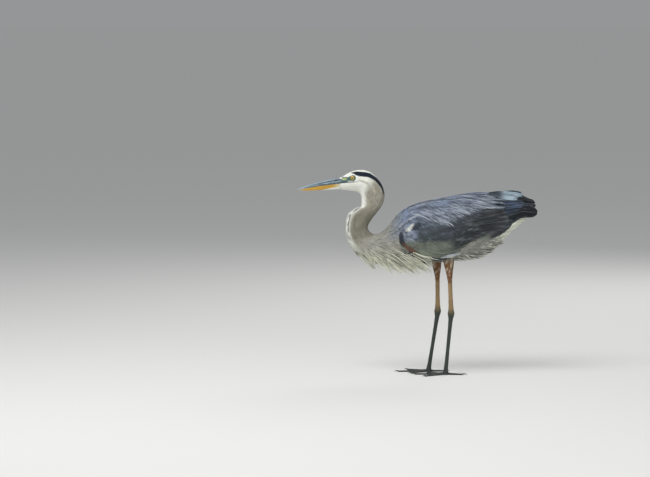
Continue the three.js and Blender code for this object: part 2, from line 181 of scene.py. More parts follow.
# ---- markings: trails of [x, z, half width] across the sides of the bird ----
STRIPE = (
    (-212, 644.5, 0.8), (-204, 645, 3), (-195, 643.4, 6), (-186, 641.8, 7.4), (-168, 640, 7.4),
    (-155, 637.5, 6.8), (-146, 632.5, 6), (-135, 625, 5.2), (-124, 613.5, 4.6), (-115.5, 601, 3.8),
    (-110, 588, 2.8), (-107, 576, 1.4),
)
GAPE_LINE = ((-246, 613.4, 2.4), (-226, 615.2, 2), (-208, 616.2, 1.5), (-195, 616.6, 0.8), (-189, 617, 0.3))
LORE = ((-246, 622.6, 8.6), (-232, 623.4, 7.8), (-219, 626, 6.4), (-207, 628.5, 9.4))
LORE_SPOT = ((-243, 624, 1.3), (-236, 624.6, 2.7), (-230, 625, 2.2), (-225, 625.6, 0.8))
EAR_SMUDGE = ((-189, 622, 1.5), (-176, 618, 3), (-162, 613, 2.5))
NAPE_SMUDGE = ((-142, 609, 2.5), (-134, 603, 4), (-130, 590, 3))
# NECK_SHADE is painted shade down the side of the neck.
NECK_SHADE = ((-160, 611, 3), (-153, 592, 6), (-147, 565, 8), (-151, 538, 8), (-170, 510, 8), (-188, 480, 8))
JAW_LINE = ((-232, 599, 0.5), (-200, 600.5, 0.9), (-172, 602, 0.7))

WRIST_BAR = ((-53, 461, 5), (-55, 447, 9), (-53, 431, 9), (-45, 417, 6))
WRIST_WHITE = ((-41, 460, 2.5), (-32, 467, 5.5), (-22, 476, 5.5), (-14, 484, 3))
WRIST_BLACK = ((-17, 468, 5), (-8, 475, 10), (2, 481, 9))
WRIST_SPOT = ((-42, 457, 3), (-36, 459, 3.5))
RUFOUS_EDGE = ((-46, 419, 4), (-28, 405, 7), (-8, 391, 7.5), (14, 383, 4))
PALE_EDGE = ((6, 386, 1.4), (30, 379, 2.6), (66, 372, 2.2))
PALE_EDGE_REAR = ((80, 375, 1.6), (104, 378, 3), (132, 388, 2.2))


# ---- arithmetic on arrays ----
def mix(start, end, share):
    """The number or point that lies a share of the way from start to end."""
    return start + (end - start) * share


def ramp(value, low, high):
    """A smooth step from 0 at low to 1 at high."""
    share = np.clip((np.asarray(value, float) - low) / (high - low), 0, 1)
    return share * share * (3 - 2 * share)


def unit(vectors):
    """The same directions with a length of 1."""
    return vectors / np.maximum(np.linalg.norm(vectors, axis=-1, keepdims=True), 1e-12)


def table(rows, at):
    """Numbers read between the rows [place, number] of a table."""
    places, numbers = zip(*rows)
    return np.interp(at, places, numbers)


def spline(rows, at):
    """A smooth run through rows of numbers, read at station numbers, as a list of columns."""
    knots = np.asarray(rows, float)
    knots = np.vstack([2 * knots[0] - knots[1], knots, 2 * knots[-1] - knots[-2]])
    first = np.clip(np.floor(at).astype(int), 0, len(rows) - 2)
    t = (at - first)[..., None]
    a, b, c, d = (knots[first + i] for i in range(4))
    run = b + t / 2 * (c - a + t * (2 * a - 5 * b + 4 * c - d + t * (3 * b - a - 3 * c + d)))
    return np.moveaxis(run, -1, 0)


def cloud(across, along, seed=0):
    """Smooth noise from 0 to 1 over a plane whose cells are 1 by 1."""
    left, low = np.floor(across), np.floor(along)
    u, v = across - left, along - low
    u, v = u * u * (3 - 2 * u), v * v * (3 - 2 * v)

    def corner(i, j):
        value = np.sin((left + i) * 127.1 + (low + j) * 311.7 + seed * 74.7) * 43758.5453
        return value - np.floor(value)

    return mix(mix(corner(0, 0), corner(1, 0), u), mix(corner(0, 1), corner(1, 1), u), v)


def millimetres(points):
    """The x, y and z of points in metres, as numbers of millimetres."""
    return np.moveaxis(points / MM, -1, 0)


def bell(value, middle, width):
    """1 at the middle, falling away over a width on both sides."""
    return np.exp(-(((value - middle) / width) ** 2))


def trail(points, rows, soft=1.2):
    """1 on a trail of [x, z, half width] over the sides of the bird, fading to 0 over soft millimetres."""
    place = points[..., (0, 2)] / MM
    weight = np.zeros(place.shape[:-1])
    for (x0, z0, w0), (x1, z1, w1) in zip(rows, rows[1:]):
        start, run = np.array([x0, z0]), np.array([x1 - x0, z1 - z0])
        share = np.clip((place - start) @ run / (run @ run), 0, 1)
        apart = np.linalg.norm(place - start - share[..., None] * run, axis=-1)
        weight = np.maximum(weight, ramp(apart - mix(w0, w1, share), soft, -soft))
    return weight


def tinted(tint, dye, weight):
    """A tint taken towards a dye by weights from 0 to 1."""
    return tint + (dye - tint) * np.asarray(weight)[..., None]


def washed(tint, *washes):
    """A tint under washes laid one after another, each a dye and its weights."""
    for dye, weight in washes:
        tint = tinted(tint, dye, weight)
    return tint


# ---- forms ----
def net_normals(net, closed):
    """The directions square to a net of points."""
    down = np.gradient(net, axis=0)
    if closed:
        ring = np.concatenate([net[:, -2:-1], net, net[:, 1:2]], axis=1)
        round_ = (ring[:, 2:] - ring[:, :-2]) / 2
    else:
        round_ = np.gradient(net, axis=1)
    return unit(np.cross(down, round_))


def facing(normals, outwards):
    """The normals, turned round if they point the other way on the whole."""
    return -normals if (normals * outwards).sum() < 0 else normals


class Form:
    """A smooth surface kept as a net of points. Its rows and columns are (from, to, count)."""

    def __init__(self, place, rows, columns, closed=True, away=None):
        self.rows, self.columns, self.closed = rows, columns, closed
        a, b = np.linspace(*rows), np.linspace(*columns)
        self.net = place(*np.meshgrid(a, b, indexing="ij"))
        self.normals = net_normals(self.net, closed)
        middle = self.net.mean(axis=1, keepdims=True)
        self.normals = facing(self.normals, self.net - middle if away is None else np.asarray(away, float))

    def at(self, a, b):
        """Points, normals, and the run of the surface for 1 along its rows and for 1 along its columns."""
        (a0, a1, count_a), (b0, b1, count_b) = self.rows, self.columns
        per_a, per_b = (count_a - 1) / (a1 - a0), (count_b - 1) / (b1 - b0)
        i, j = (a - a0) * per_a, (b - b0) * per_b
        if self.closed:
            j = np.mod(j, count_b - 1)
        low_i = np.clip(np.floor(i).astype(int), 0, count_a - 2)
        low_j = np.clip(np.floor(j).astype(int), 0, count_b - 2)
        u, v = (i - low_i)[..., None], (j - low_j)[..., None]
        net, inside_u, inside_v = self.net, np.clip(u, 0, 1), np.clip(v, 0, 1)
        p00, p01 = net[low_i, low_j], net[low_i, low_j + 1]
        p10, p11 = net[low_i + 1, low_j], net[low_i + 1, low_j + 1]
        run_a = mix(p10 - p00, p11 - p01, inside_v)
        run_b = mix(p01 - p00, p11 - p10, inside_u)
        point = p00 + run_a * u + (p01 - p00) * v
        point = point + (p11 - p10 - p01 + p00) * (inside_u * inside_v - inside_v * u)
        n = self.normals
        n0 = mix(n[low_i, low_j], n[low_i, low_j + 1], inside_v)
        n1 = mix(n[low_i + 1, low_j], n[low_i + 1, low_j + 1], inside_v)
        return point, unit(mix(n0, n1, inside_u)), run_a * per_a, run_b * per_b


def body_place(station, angle):
    """The tips of the coat over head, neck and trunk. The angle runs from the back round to the right."""
    back_x, back_z, belly_x, belly_z, half, top = spline(BODY, station)
    up = 0.5 + np.cos(angle) / 2
    x, z = mix(belly_x, back_x, up), mix(belly_z, back_z, up)
    y = np.sin(angle) * (1 + top * np.cos(angle)) * half
    relief = sum(
        rise * np.exp(-(((x - at_x) / long) ** 2) - ((z - at_z) / high) ** 2)
        for at_x, at_z, long, high, rise in HEAD_RELIEF
    )
    return np.stack([x, y + np.sin(angle) * relief, z], -1) * MM


def wing_place(sign, out):
    """A face of a folded wing by station and way down. out is 1 on its outer face and -1 on its inner."""

    def place(station, down):
        x, bulge, thick, top_y, top_z, low_y, low_z = spline(WING, station)
        full = np.sin(np.pi * np.clip(down, 0, 1)) ** 0.75
        y = mix(top_y, low_y, down) + bulge * np.sin(np.pi * down) + out * full * thick / 2
        z = mix(top_z, low_z, down)
        if sign > 0:
            x, z = lifted(x, z)
        return np.stack([x, sign * y, z], -1) * MM

    return place


def lifted(x, z, lift=RIGHT_WING_LIFT):
    """The right wing is held a little higher than the left."""
    middle_x, middle_z = SHOULDER
    from_x, from_z = x - middle_x, z - middle_z
    turn_cos, turn_sin = math.cos(lift), math.sin(lift)
    return middle_x + from_x * turn_cos - from_z * turn_sin, middle_z + from_z * turn_cos + from_x * turn_sin


def leg_place(leg, depth=lambda z: 0):
    """A leg by its height above the floor, in millimetres, and by the angle round it."""
    x_line, y_line, z_line = np.array(leg.line[::-1], float).T
    heights, deep, wide = np.array(LEG_GIRTH, float).T

    def place(height, angle):
        rounding = np.linspace(-9, 9, 7)  # the line's corners are rounded over this much of its height
        x, y = (
            sum(np.interp(height + s, z_line, line) for s in rounding) / len(rounding)
            for line in (x_line, y_line)
        )
        under = depth(height)
        fore = np.cos(angle) * (np.interp(height, heights, deep) - under)
        side = np.sin(angle) * (np.interp(height, heights, wide) - under)
        return np.stack([x + fore, leg.sign * y + side, height], -1) * MM

    return place


def on_floor(leg, turn, reach, across, height):
    """Points from places along and across the line of a toe, and their heights above the floor."""
    angle = math.radians(turn)
    ahead_x, ahead_y = -math.cos(angle), leg.sign * math.sin(angle)
    foot_x, foot_y, _ = leg.line[-1]
    x = foot_x + ahead_x * reach - ahead_y * across
    y = leg.sign * foot_y + ahead_y * reach + ahead_x * across
    return np.stack([x, y, height], -1) * MM


def toe_place(leg, turn, length):
    """A toe along the floor, by its share of the way to the claw and by the angle round it."""

    def place(along, round_):
        grown = ramp(along, 0, 0.18)
        taper = mix(TOE.thick, TOE.tip, along)
        end = np.sqrt(np.clip((1 - along) / 0.03, 0, 1))
        pad = TOE.pad * np.cos(along * math.tau * TOE.pads) * grown
        radius = (mix(TOE.root, taper, grown) + pad) * mix(0.35, 1, end)
        high = mix(TOE.high, taper * TOE.share, ramp(along, 0, 0.3))
        reach = mix(TOE.start, length, along)
        across = np.cos(round_) * radius
        z = np.maximum(0, high * (TOE.axis + (1 - TOE.axis) * np.sin(round_) * mix(0.5, 1, end)))
        return on_floor(leg, turn, reach, across, z)

    return place


def wing_line(x, row):
    """A number of WING at a place along X."""
    return np.interp(x, [station[0] for station in WING], [station[row] for station in WING])


def wing_top(x):
    """The height of the upper edge of the wings at a place along X."""
    return wing_line(x, 4)


def wing_hem(x):
    """The height of the lower edge of the wings at a place along X."""
    return wing_line(x, 6)


def wing_station(x):
    """The station number of WING at a place along X."""
    return np.interp(x, [station[0] for station in WING], np.arange(len(WING)))


def cape_arc(station, sign):
    """Points from the middle of the back down over the trunk and, where they meet it, over the wing."""
    angles = np.linspace(0, 2.3, 150)
    arc = body_place(np.full_like(angles, station), sign * angles)
    wing = wing_place(sign, 1)
    run = wing_station(arc[:, 0] / MM)
    top = wing(run, np.zeros_like(run))
    under = np.nonzero((arc[:, 2] < top[:, 2]) & (arc[:, 0] / MM > WING[0][0] + 4))[0]
    if not len(under):
        return arc
    meet = under[0]
    down = np.linspace(0.03, 1, 90)
    return np.vstack([arc[:meet], wing(np.full_like(down, run[meet]), down)])


def evenly(arc, steps):
    """Points of an arc at given lengths along it."""
    length = np.concatenate([[0], np.cumsum(np.linalg.norm(np.diff(arc, axis=0), axis=1))])
    return np.stack([np.interp(steps, length, column) for column in arc.T], -1)


def eased(points):
    """Draws each point of a run, along the first axis, towards its neighbours. The ends stay."""
    points[1:-1] = (points[:-2] + 2 * points[1:-1] + points[2:]) / 4


def cape_form():
    """The back and the upper wings as one drape, by station and by metres down from the middle."""
    stations, reach, columns, passes = np.linspace(15.3, 23.7, 120), 0.17, 61, 14
    steps = np.linspace(0, reach, columns)
    left, right = (
        np.array([evenly(cape_arc(station, sign), steps) for station in stations]) for _, sign in SIDES
    )
    net = np.concatenate([left[:, :0:-1], right], axis=1)
    for _ in range(passes):
        eased(net)
        eased(net.swapaxes(0, 1))
    rows, columns = (stations[0], stations[-1], len(stations)), (-reach, reach, net.shape[1])
    return Form(lambda a, b: net, rows, columns, closed=False, away=(0, 0, 1))


# ---- feathers ----
PATCH = 0.003  # the size of a feather's patch in the bake map
LEAF = ((-1, 0), (0, 1), (1, 0))  # the section of a small vane: [across, rise]
BLADE = (
    (-1, 0), (-0.86, 0.25), (-0.4, 0.55), (-0.07, 0.6), (0, 1), (0.07, 0.6), (0.4, 0.55), (0.86, 0.25),
    (1, 0), (0, -0.25),
)
SHAFT = SimpleNamespace(width=0.05, shade=0.35)  # how broad and how dark a shaft is on a vane with a rim
# Outlines of vanes: shares of the length, and the share of the full width there.
ROUND = ((0, 0.4), (0.25, 0.85), (0.55, 1), (0.8, 0.86), (0.94, 0.5), (1, 0))
POINTED = ((0, 0.45), (0.2, 0.9), (0.45, 1), (0.72, 0.68), (0.9, 0.32), (1, 0))
SHORT = ((0, 0.5), (0.4, 1), (0.75, 0.75), (1, 0))
SOFT = ((0, 0.5), (0.2, 0.9), (0.42, 1), (0.62, 0.9), (0.8, 0.66), (0.92, 0.36), (1, 0))
LANCE = (
    (0, 0.5), (0.12, 0.85), (0.25, 1), (0.4, 0.96), (0.55, 0.84), (0.68, 0.66), (0.8, 0.46), (0.91, 0.24),
    (1, 0),
)
LANCE_LONG = (
    (0, 0.3), (0.06, 0.5), (0.15, 0.8), (0.3, 1), (0.45, 1), (0.6, 0.9), (0.72, 0.75), (0.82, 0.58),
    (0.89, 0.42), (0.945, 0.26), (0.98, 0.12), (1, 0),
)
FLIGHT = (
    (0, 0.3), (0.06, 0.6), (0.15, 0.85), (0.3, 0.98), (0.45, 1), (0.6, 1), (0.72, 0.97), (0.82, 0.9),
    (0.89, 0.78), (0.945, 0.58), (0.98, 0.34), (1, 0),
)


def lengthwise(outline):
    """The shares of a vane's length at which its outline is given."""
    return np.array([row[0] for row in outline], float)


def scatter(form, rows, columns, density, rng, cells=(160, 96)):
    """Roots spread evenly over a stretch of a form. density(points, a, b) counts them in a square metre."""
    step_a, step_b = (rows[1] - rows[0]) / cells[0], (columns[1] - columns[0]) / cells[1]
    a = rows[0] + step_a * (np.arange(cells[0]) + 0.5)
    b = columns[0] + step_b * (np.arange(cells[1]) + 0.5)
    a, b = np.meshgrid(a, b, indexing="ij")
    point, _, run_a, run_b = form.at(a, b)
    area = np.linalg.norm(np.cross(run_a, run_b), axis=-1) * step_a * step_b
    wanted = np.cumsum(area * density(point, a, b), axis=1) + rng.random((cells[0], 1))
    count = np.diff(np.floor(wanted), axis=1, prepend=0).astype(int)
    a, b = np.repeat(a.ravel(), count.ravel()), np.repeat(b.ravel(), count.ravel())
    return a + (rng.random(len(a)) - 0.5) * step_a, b + (rng.random(len(b)) - 0.5) * step_b


def walk(form, a, b, length, outline, turn=0.0, lie=None, free=None, stream=None):
    """Spines that walk over a form from their roots. turn leads them from the rows' run towards the columns'
    run, or lie(points) gives their direction. Where free, by shares of the length, rises to 1, they leave the
    form and follow stream(points). Gives points, normals and the places a and b."""
    shares = lengthwise(outline)
    point, normal, run_a, run_b = form.at(a, b)
    points, normals, places = [point], [normal], [(a, b)]
    for k in range(1, len(shares)):
        step = (shares[k] - shares[k - 1]) * length
        along = unit(run_a)
        skew = (run_b * along).sum(-1)
        square = run_b - along * skew[..., None]
        across = unit(square)
        way_along, way_across = np.cos(turn), np.sin(turn)
        if lie is not None:
            wanted = lie(points[-1])
            led = np.arctan2((wanted * across).sum(-1), (wanted * along).sum(-1)) + turn
            way_along, way_across = np.cos(led), np.sin(led)
        on_b = way_across / np.maximum(np.linalg.norm(square, axis=-1), 1e-6)
        on_a = (way_along - on_b * skew) / np.maximum(np.linalg.norm(run_a, axis=-1), 1e-6)
        a, b = a + on_a * step, b + on_b * step
        point, normal, run_a, run_b = form.at(a, b)
        if free is not None:
            share = table(free, shares[k])
            loose = points[-1] + unit(stream(points[-1])) * np.reshape(step, (-1, 1))
            point = mix(point, loose, share)
            normal = unit(mix(normal, normals[-1], share))
        points.append(point)
        normals.append(normal)
        places.append((a, b))
    a, b = (np.stack(column, 1) for column in zip(*places))
    return np.stack(points, 1), np.stack(normals, 1), a, b


class Coat:
    """Closed vanes gathered from arrays into one mesh piece, with a source of seeded draws."""

    def __init__(self, name, seed):
        self.name, self.rng = name, np.random.default_rng(seed)
        self.points, self.tints, self.bake, self.vane = [], [], [], []
        self.corners, self.sizes, self.count = [], [], 0

    def lay(self, spine, normals, half, ridge, tint, roots, outline, section=LEAF, camber=0.0, rim=None,
            patch=(PATCH, PATCH)):
        """Adds vanes along spines [vane, step, xyz]. half is a vane's half width, ridge the height of its
        shaft, tint its colour at each step, roots its place in the bake map, rim its edges' dye and share."""
        shares, widths = np.array(outline, float).T
        vanes, steps = spine.shape[:2]
        rings, around = steps - 1, len(section)
        across, rise = np.array(section, float).T
        tangent = unit(np.gradient(spine, axis=1))
        side = unit(np.cross(tangent, normals))
        up = unit(np.cross(side, tangent))
        wide = (np.reshape(half, (-1, 1)) * widths)[:, :rings, None, None]
        shaft = np.reshape(ridge, (-1, 1, 1, 1)) * rise[None, None, :, None]
        high = shaft - camber * wide * across[:, None] ** 2
        ring = spine[:, :rings, None] + side[:, :rings, None] * wide * across[:, None]
        ring = ring + up[:, :rings, None] * high
        points = np.concatenate([ring.reshape(vanes, -1, 3), spine[:, rings:]], 1)
        colour = np.repeat(tint[:, :rings, None], around, 2)
        if rim is not None:
            dye, share = rim
            colour = tinted(colour, dye, share * np.abs(across) ** 4)
            colour = colour * (1 - SHAFT.shade * bell(across, 0, SHAFT.width))[:, None]
        colour = np.concatenate([colour.reshape(vanes, -1, 3), tint[:, rings:]], 1)
        length = np.linalg.norm(np.diff(spine, axis=1), axis=-1).sum(1)
        u = np.append(np.tile(across / 2, rings), 0)
        v = np.append(np.repeat(shares[:rings], around), 1)
        flat = np.stack([u, v - 0.5], -1) * patch
        bake = np.clip(roots[:, None] + flat, 0.0005, 0.9995)
        vane = np.stack(np.broadcast_arrays(u + 0.5, v * length[:, None] / (10 * MM)), -1)
        corners, sizes = vane_faces(rings, around)
        offsets = self.count + np.arange(vanes)[:, None] * points.shape[1]
        self.points.append(points.reshape(-1, 3))
        self.tints.append(colour.reshape(-1, 3))
        self.bake.append(bake.reshape(-1, 2))
        self.vane.append(vane.reshape(-1, 2))
        self.corners.append((offsets + corners).ravel())
        self.sizes.append(np.tile(sizes, vanes))
        self.count += vanes * points.shape[1]

    def piece(self, material, slot, nodes=()):
        """The gathered vanes as an object that rides on the frame."""
        corners, sizes = np.concatenate(self.corners), np.concatenate(self.sizes)
        mesh = bpy.data.meshes.new(self.name)
        mesh.vertices.add(self.count)
        mesh.vertices.foreach_set("co", np.concatenate(self.points).astype(np.float32).ravel())
        mesh.loops.add(len(corners))
        mesh.loops.foreach_set("vertex_index", corners.astype(np.int32))
        mesh.polygons.add(len(sizes))
        mesh.polygons.foreach_set("loop_start", (np.cumsum(sizes) - sizes).astype(np.int32))
        for name, flat in (("OFBake", self.bake), ("Vane", self.vane)):
            layer = mesh.uv_layers.new(name=name)
            layer.data.foreach_set("uv", np.concatenate(flat)[corners].astype(np.float32).ravel())
        mesh.update(calc_edges=True)
        paint(mesh, np.concatenate(self.tints))
        mesh.shade_smooth()
        mesh.set_sharp_from_angle(angle=math.radians(60))
        return placed(self.name, mesh, material, nodes)

    def feathered(self, slot, roughness, barbs, contrast, nodes=()):
        """The gathered vanes as a piece of plumage."""
        return self.piece(plumage_material(self.name, roughness, barbs, contrast), slot, nodes)


def vane_faces(rings, around):
    """The corners of one vane's faces, one after another, and how many corners each face has."""
    faces = [tuple(reversed(range(around)))]
    for k in range(rings - 1):
        for c in range(around):
            after = (c + 1) % around
            low, high = k * around, (k + 1) * around
            faces.append((low + c, low + after, high + after, high + c))
    last = (rings - 1) * around
    faces += [(last + c, last + (c + 1) % around, rings * around) for c in range(around)]
    return np.array([corner for face in faces for corner in face]), np.array([len(face) for face in faces])


def paint(mesh, tints):
    """Stores a tint for each vertex."""
    layer = mesh.color_attributes.new(name="Coat", type="FLOAT_COLOR", domain="POINT")
    rgba = np.ones((len(tints), 4), np.float32)
    rgba[:, :3] = np.clip(tints, 0, 1)
    layer.data.foreach_set("color", rgba.ravel())


def in_scene(name, data):
    """A new object in the scene."""
    made = bpy.data.objects.new(name, data)
    bpy.context.scene.collection.objects.link(made)
    return made


def placed(name, mesh, material, nodes=()):
    """A mesh as a finished piece on the frame, in place of the nodes that it stands for."""
    piece = in_scene(name, mesh)
    mesh.materials.clear()
    mesh.materials.append(material)
    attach(piece, "root")
    if nodes:
        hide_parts(*nodes)
    return piece


def spread(form, a, b, band=(0, 1)):
    """Roots' places in the bake map: the form's rows and columns, unrolled over a band of its width."""
    low_b, high_b, _ = form.columns
    b = np.mod(b - low_b, high_b - low_b) + low_b if form.closed else b

    def filled(values):
        low, high = values.min(), values.max()
        return 0.01 + 0.98 * (values - low) / max(high - low, 1e-9)

    return np.stack([mix(*band, filled(a)), filled(b)], -1)


# ---- markings ----
def body_tint(points, station, angle):
    """The colours of head, neck and trunk."""
    dyed = dyes()
    front = np.abs(np.mod(angle, math.tau) - math.pi)  # 0 down the throat and belly, pi down the back
    x, _, z = millimetres(points)
    streak = cloud(angle * 9, station * 2.2, 3)
    fine = cloud(angle * 30, station * 3.5, 5)
    necked = ramp(station, 3.9, 5.8) * ramp(front, 0.7, 1.15)
    bend = ramp(station, 8, 10) * ramp(station, 14.2, 12.2) * ramp(front, 0.75, 1.25)
    rows = 0.8 * bell(front, 0.3, 0.1) + bell(front, 0.66, 0.14)
    broken = ramp(cloud(angle * 6, station * 3.6, 9), 0.28, 0.5)
    above = ramp(station, 15.0, 16.6) * ramp(z - mix(440, 470, ramp(x, -90, 0)), -25, 25)
    beside = ramp(station, 15.9, 16.5) * ramp(z, 425, 405)
    tint = washed(
        dyed.white,
        # The lower side of the head a little greyer: painted shade under the head.
        (dyed.cheek, 0.35 * ramp(front, 1.2, 0.4) * ramp(station, 4.5, 3)),
        (dyed.neck, necked * mix(0.7, 1, streak)),
        (dyed.neck_pale, necked * 0.6 * ramp(streak + fine, 1.15, 1.6)),
        (dyed.neck_low, bend * mix(0.65, 1, streak)),
        (dyed.breast, ramp(station, 12.3, 14.4) * mix(0.8, 1, streak)),
        (dyed.breast_pale, 0.35 * ramp(station, 12.3, 14) * ramp(front, 1.6, 0.5)),
        # Two broken rows of black streaks run down each side of the white foreneck.
        (dyed.black, 0.92 * rows * broken * ramp(station, 8.1, 8.6) * ramp(station, 13, 12)),
        # The trunk: blue-grey above, grey on the flanks, black beside the breast, white under the tail.
        (dyed.mantle, above),
        (dyed.flank, ramp(station, 16.4, 17.6) * (1 - ramp(z, 430, 470))),
        (dyed.black, 0.95 * beside * ramp(front, 1.5, 0.9) * ramp(x, 112, 88)),
        (dyed.vent, ramp(station, 21.3, 22.2) * ramp(front, 1.5, 0.9)),
    )
    return head_tint(dyed, points, tint, station)


def head_tint(dyed, points, tint, station):
    """The markings of the face and crown, and painted shade down the side of the neck, over the tint of the
    head.
    """
    on_head = ramp(station, 8.2, 7.4)
    lore = trail(points, LORE, 1.2) * on_head
    return washed(
        tint,
        (dyed.smudge, 0.6 * trail(points, EAR_SMUDGE, 3) * on_head),
        (dyed.smudge, 0.6 * trail(points, NAPE_SMUDGE, 4) * on_head),
        (dyed.smudge, 0.25 * trail(points, JAW_LINE, 1.5) * on_head),
        # A darker band down the side of the neck: painted shade.
        (dyed.smudge, 0.5 * trail(points, NECK_SHADE, 6) * ramp(station, 13, 12)),
        (dyed.black, trail(points, STRIPE, 1.0) * on_head),
        (dyed.lore, lore),
        (dyed.bill, 0.9 * lore * ramp(points[..., 0] / MM, -228, -243)),
        (dyed.lore_spot, trail(points, LORE_SPOT, 1.0) * on_head),
        (dyed.bill_edge, trail(points, GAPE_LINE, 0.5) * on_head),
    )


def wing_tint(points, station, down):
    """The colours of the wing coverts."""
    dyed = dyes()
    x, _, z = millimetres(points)
    streaky = cloud(down * 34, station * 3.0, 8)
    marks = (
        (dyed.black, WRIST_BAR, 0.95), (dyed.white, WRIST_WHITE, 0.95), (dyed.black, WRIST_BLACK, 0.9),
        (dyed.black, WRIST_SPOT, 0.9), (dyed.rufous, RUFOUS_EDGE, 0.9), (dyed.white, PALE_EDGE, 0.9),
        (dyed.white, PALE_EDGE_REAR, 0.8),
    )
    return washed(
        dyed.covert,
        (dyed.mantle, np.maximum(0.5 * ramp(down, 0.5, 0.1), ramp(x, 8, -16))),
        (dyed.secondary, 0.85 * ramp(x, 50, 100) * ramp(down, 0.1, 0.3)),
        # Paler blue-grey over the lower front of the wing: painted highlight.
        (dyed.mantle_pale, 0.3 * ramp(x, 0, -24) * ramp(z, 485, 465)),
        (dyed.covert_low, olive(x, z)),
        (dyed.mantle, 0.3 * ramp(streaky, 0.55, 0.95) * ramp(z, 400, 450)),
        # Darker streaks over the coverts, stronger higher up: painted shade in the gaps between the feathers.
        (dyed.mantle_dark, 0.85 * ramp(streaky, 0.5, 0.15) * mix(0.45, 1, ramp(z, 415, 440))),
        *((dye, share * trail(points, rows, 1.6)) for dye, rows, share in marks),
    )


def olive(x, z):
    """How olive the wing is: along its lower front and its rear hem."""
    lower_front = ramp(z, 440, 418) * ramp(x, 130, 84)
    return np.maximum(lower_front, ramp(z - wing_hem(x), 26, 8) * ramp(x, 240, 215))


def leg_tint(points, a=None, b=None):
    """The colours of the bare legs and of the thighs, by height."""
    dyed = dyes()
    x, _, z = millimetres(points)
    patchy = cloud(x * 0.35, z * 0.09, 2)
    return washed(
        dyed.tarsus,
        (dyed.toe, ramp(z, 40, 8)),
        (dyed.tibia, ramp(z, 186, 222) * mix(0.75, 1, patchy)),
        (dyed.thigh, ramp(z, 285, 305)),
        (dyed.flank, ramp(z, 352, 385)),
    )


def varied(rng, tint, uneven=0.07):
    """Tints of vanes, each a little lighter or darker than its neighbours."""
    tone = 1 + rng.normal(0, uneven, (len(tint), 1, 1))
    return np.clip(tint * tone, 0, 1)


# ---- settings that a user would change ----
def linear(code):
    """A colour as the renderer counts it, from its usual six digits."""
    parts = [int(code[i:i + 2], 16) / 255 for i in (0, 2, 4)]
    return tuple(p / 12.92 if p < 0.04045 else ((p + 0.055) / 1.055) ** 2.4 for p in parts)


def dye(name, description, code):
    """A colour property."""
    return bpy.props.FloatVectorProperty(
        name=name, description=description, default=linear(code), size=3, min=0, max=1, subtype="COLOR"
    )


def length_of(name, description, millimetres):
    """A length property, in metres."""
    return bpy.props.FloatProperty(
        name=name, description=description, default=millimetres * MM, min=0, unit="LENGTH", precision=4
    )


def number(name, description, default):
    """A plain number property."""
    return bpy.props.FloatProperty(name=name, description=description, default=default, min=0)


class HeronColours(bpy.types.PropertyGroup):
    """The colours of skin, horn and plumage."""

    white: dye("White", "Crown, chin and the front of the neck", "E4E5DC")
    # Painted shade on the lower side of the head.
    cheek: dye("Cheek", "Cheek behind the face", "D3D4C6")
    # Faint grey marks on the ear and nape, and the painted shade down the side of the neck.
    smudge: dye("Smudge", "Faint marks on the ear and nape", "8F8A79")
    black: dye("Black", "Crown stripe, wrist and belly patches", "18222E")
    neck: dye("Neck", "Sides of the upper neck", "817A6B")
    neck_pale: dye("Pale neck", "Light streaks on the neck", "CBC7B6")
    neck_low: dye("Low neck", "The bend of the neck", "757164")
    breast: dye("Breast", "Base of the neck and sides of the breast", "9A9A92")
    breast_pale: dye("Pale breast", "Middle of the breast", "D2D2C0")
    plume_pale: dye("Pale plume", "Most of the breast plumes", "DEDFCB")
    plume_grey: dye("Grey plume", "Some of the breast plumes", "9C9D8C")
    plume_dark: dye("Dark plume", "A few of the breast plumes", "55564C")
    mantle: dye("Mantle", "The back", "78849A")
    mantle_pale: dye("Pale mantle", "Tips of the long feathers of the back", "B7BCC3")
    # Painted shade: the gaps between the feathers of the back and wings, and the shade under and among the
    # scapular plumes.
    mantle_dark: dye("Dark mantle", "Gaps between the feathers of the back", "2F3742")
    covert: dye("Coverts", "The shoulder of the wing", "384041")
    covert_low: dye("Lower coverts", "The lower wing", "787F70")
    secondary: dye("Secondaries", "The hind wing", "2F3135")
    primary: dye("Primaries", "The wing tips", "12171E")
    greater: dye("Great coverts", "Over the roots of the hind wing", "2A2E31")
    # On the tertials this blue shows only where fan_tint does not shadow them, as a painted highlight; it is
    # also the tail's base colour.
    tertial: dye("Tertials", "The broad feathers over the wing tip", "3B485F")
    tertial_pale: dye("Pale tertial", "The uppermost tertial", "8897A1")
    edge: dye("Feather edges", "Pale edges of the flight feathers", "6E7478")
    flank: dye("Flanks", "Flanks and the tops of the thighs", "878881")
    vent: dye("Vent", "Feathers under the tail", "DBDDCD")
    rufous: dye("Rufous", "The lower edge of the wing", "6E4630")
    thigh: dye("Thigh", "Lower thigh feathers", "6E492A")
    tibia: dye("Tibia", "Bare leg above the heel", "987D57")
    tarsus: dye("Tarsus", "Bare leg below the heel", "313933")
    toe: dye("Toes", "Feet and toes", "292E2C")
    lore: dye("Lore", "Bare skin between the bill and the eye", "44645F")
    lore_spot: dye("Lore spot", "Yellow-green patch before the eye", "B3BB73")
    bill: dye("Upper bill", "Slate of the upper bill", "3B5662")
    # The paler tips of both halves, and the painted highlight in streaks along the middle and the ridge of the
    # upper bill.
    bill_pale: dye("Pale bill", "Worn streaks and the tip of the bill", "A0AEB7")
    bill_edge: dye("Bill edge", "Dark line at the gape", "2C3A43")
    bill_low: dye("Lower bill", "Yellow of the lower bill", "C3952D")
    bill_root: dye("Bill root", "Pale base of the lower bill", "D2C9A4")
    claw: dye("Claws", "Horn of the claws", "24231F")


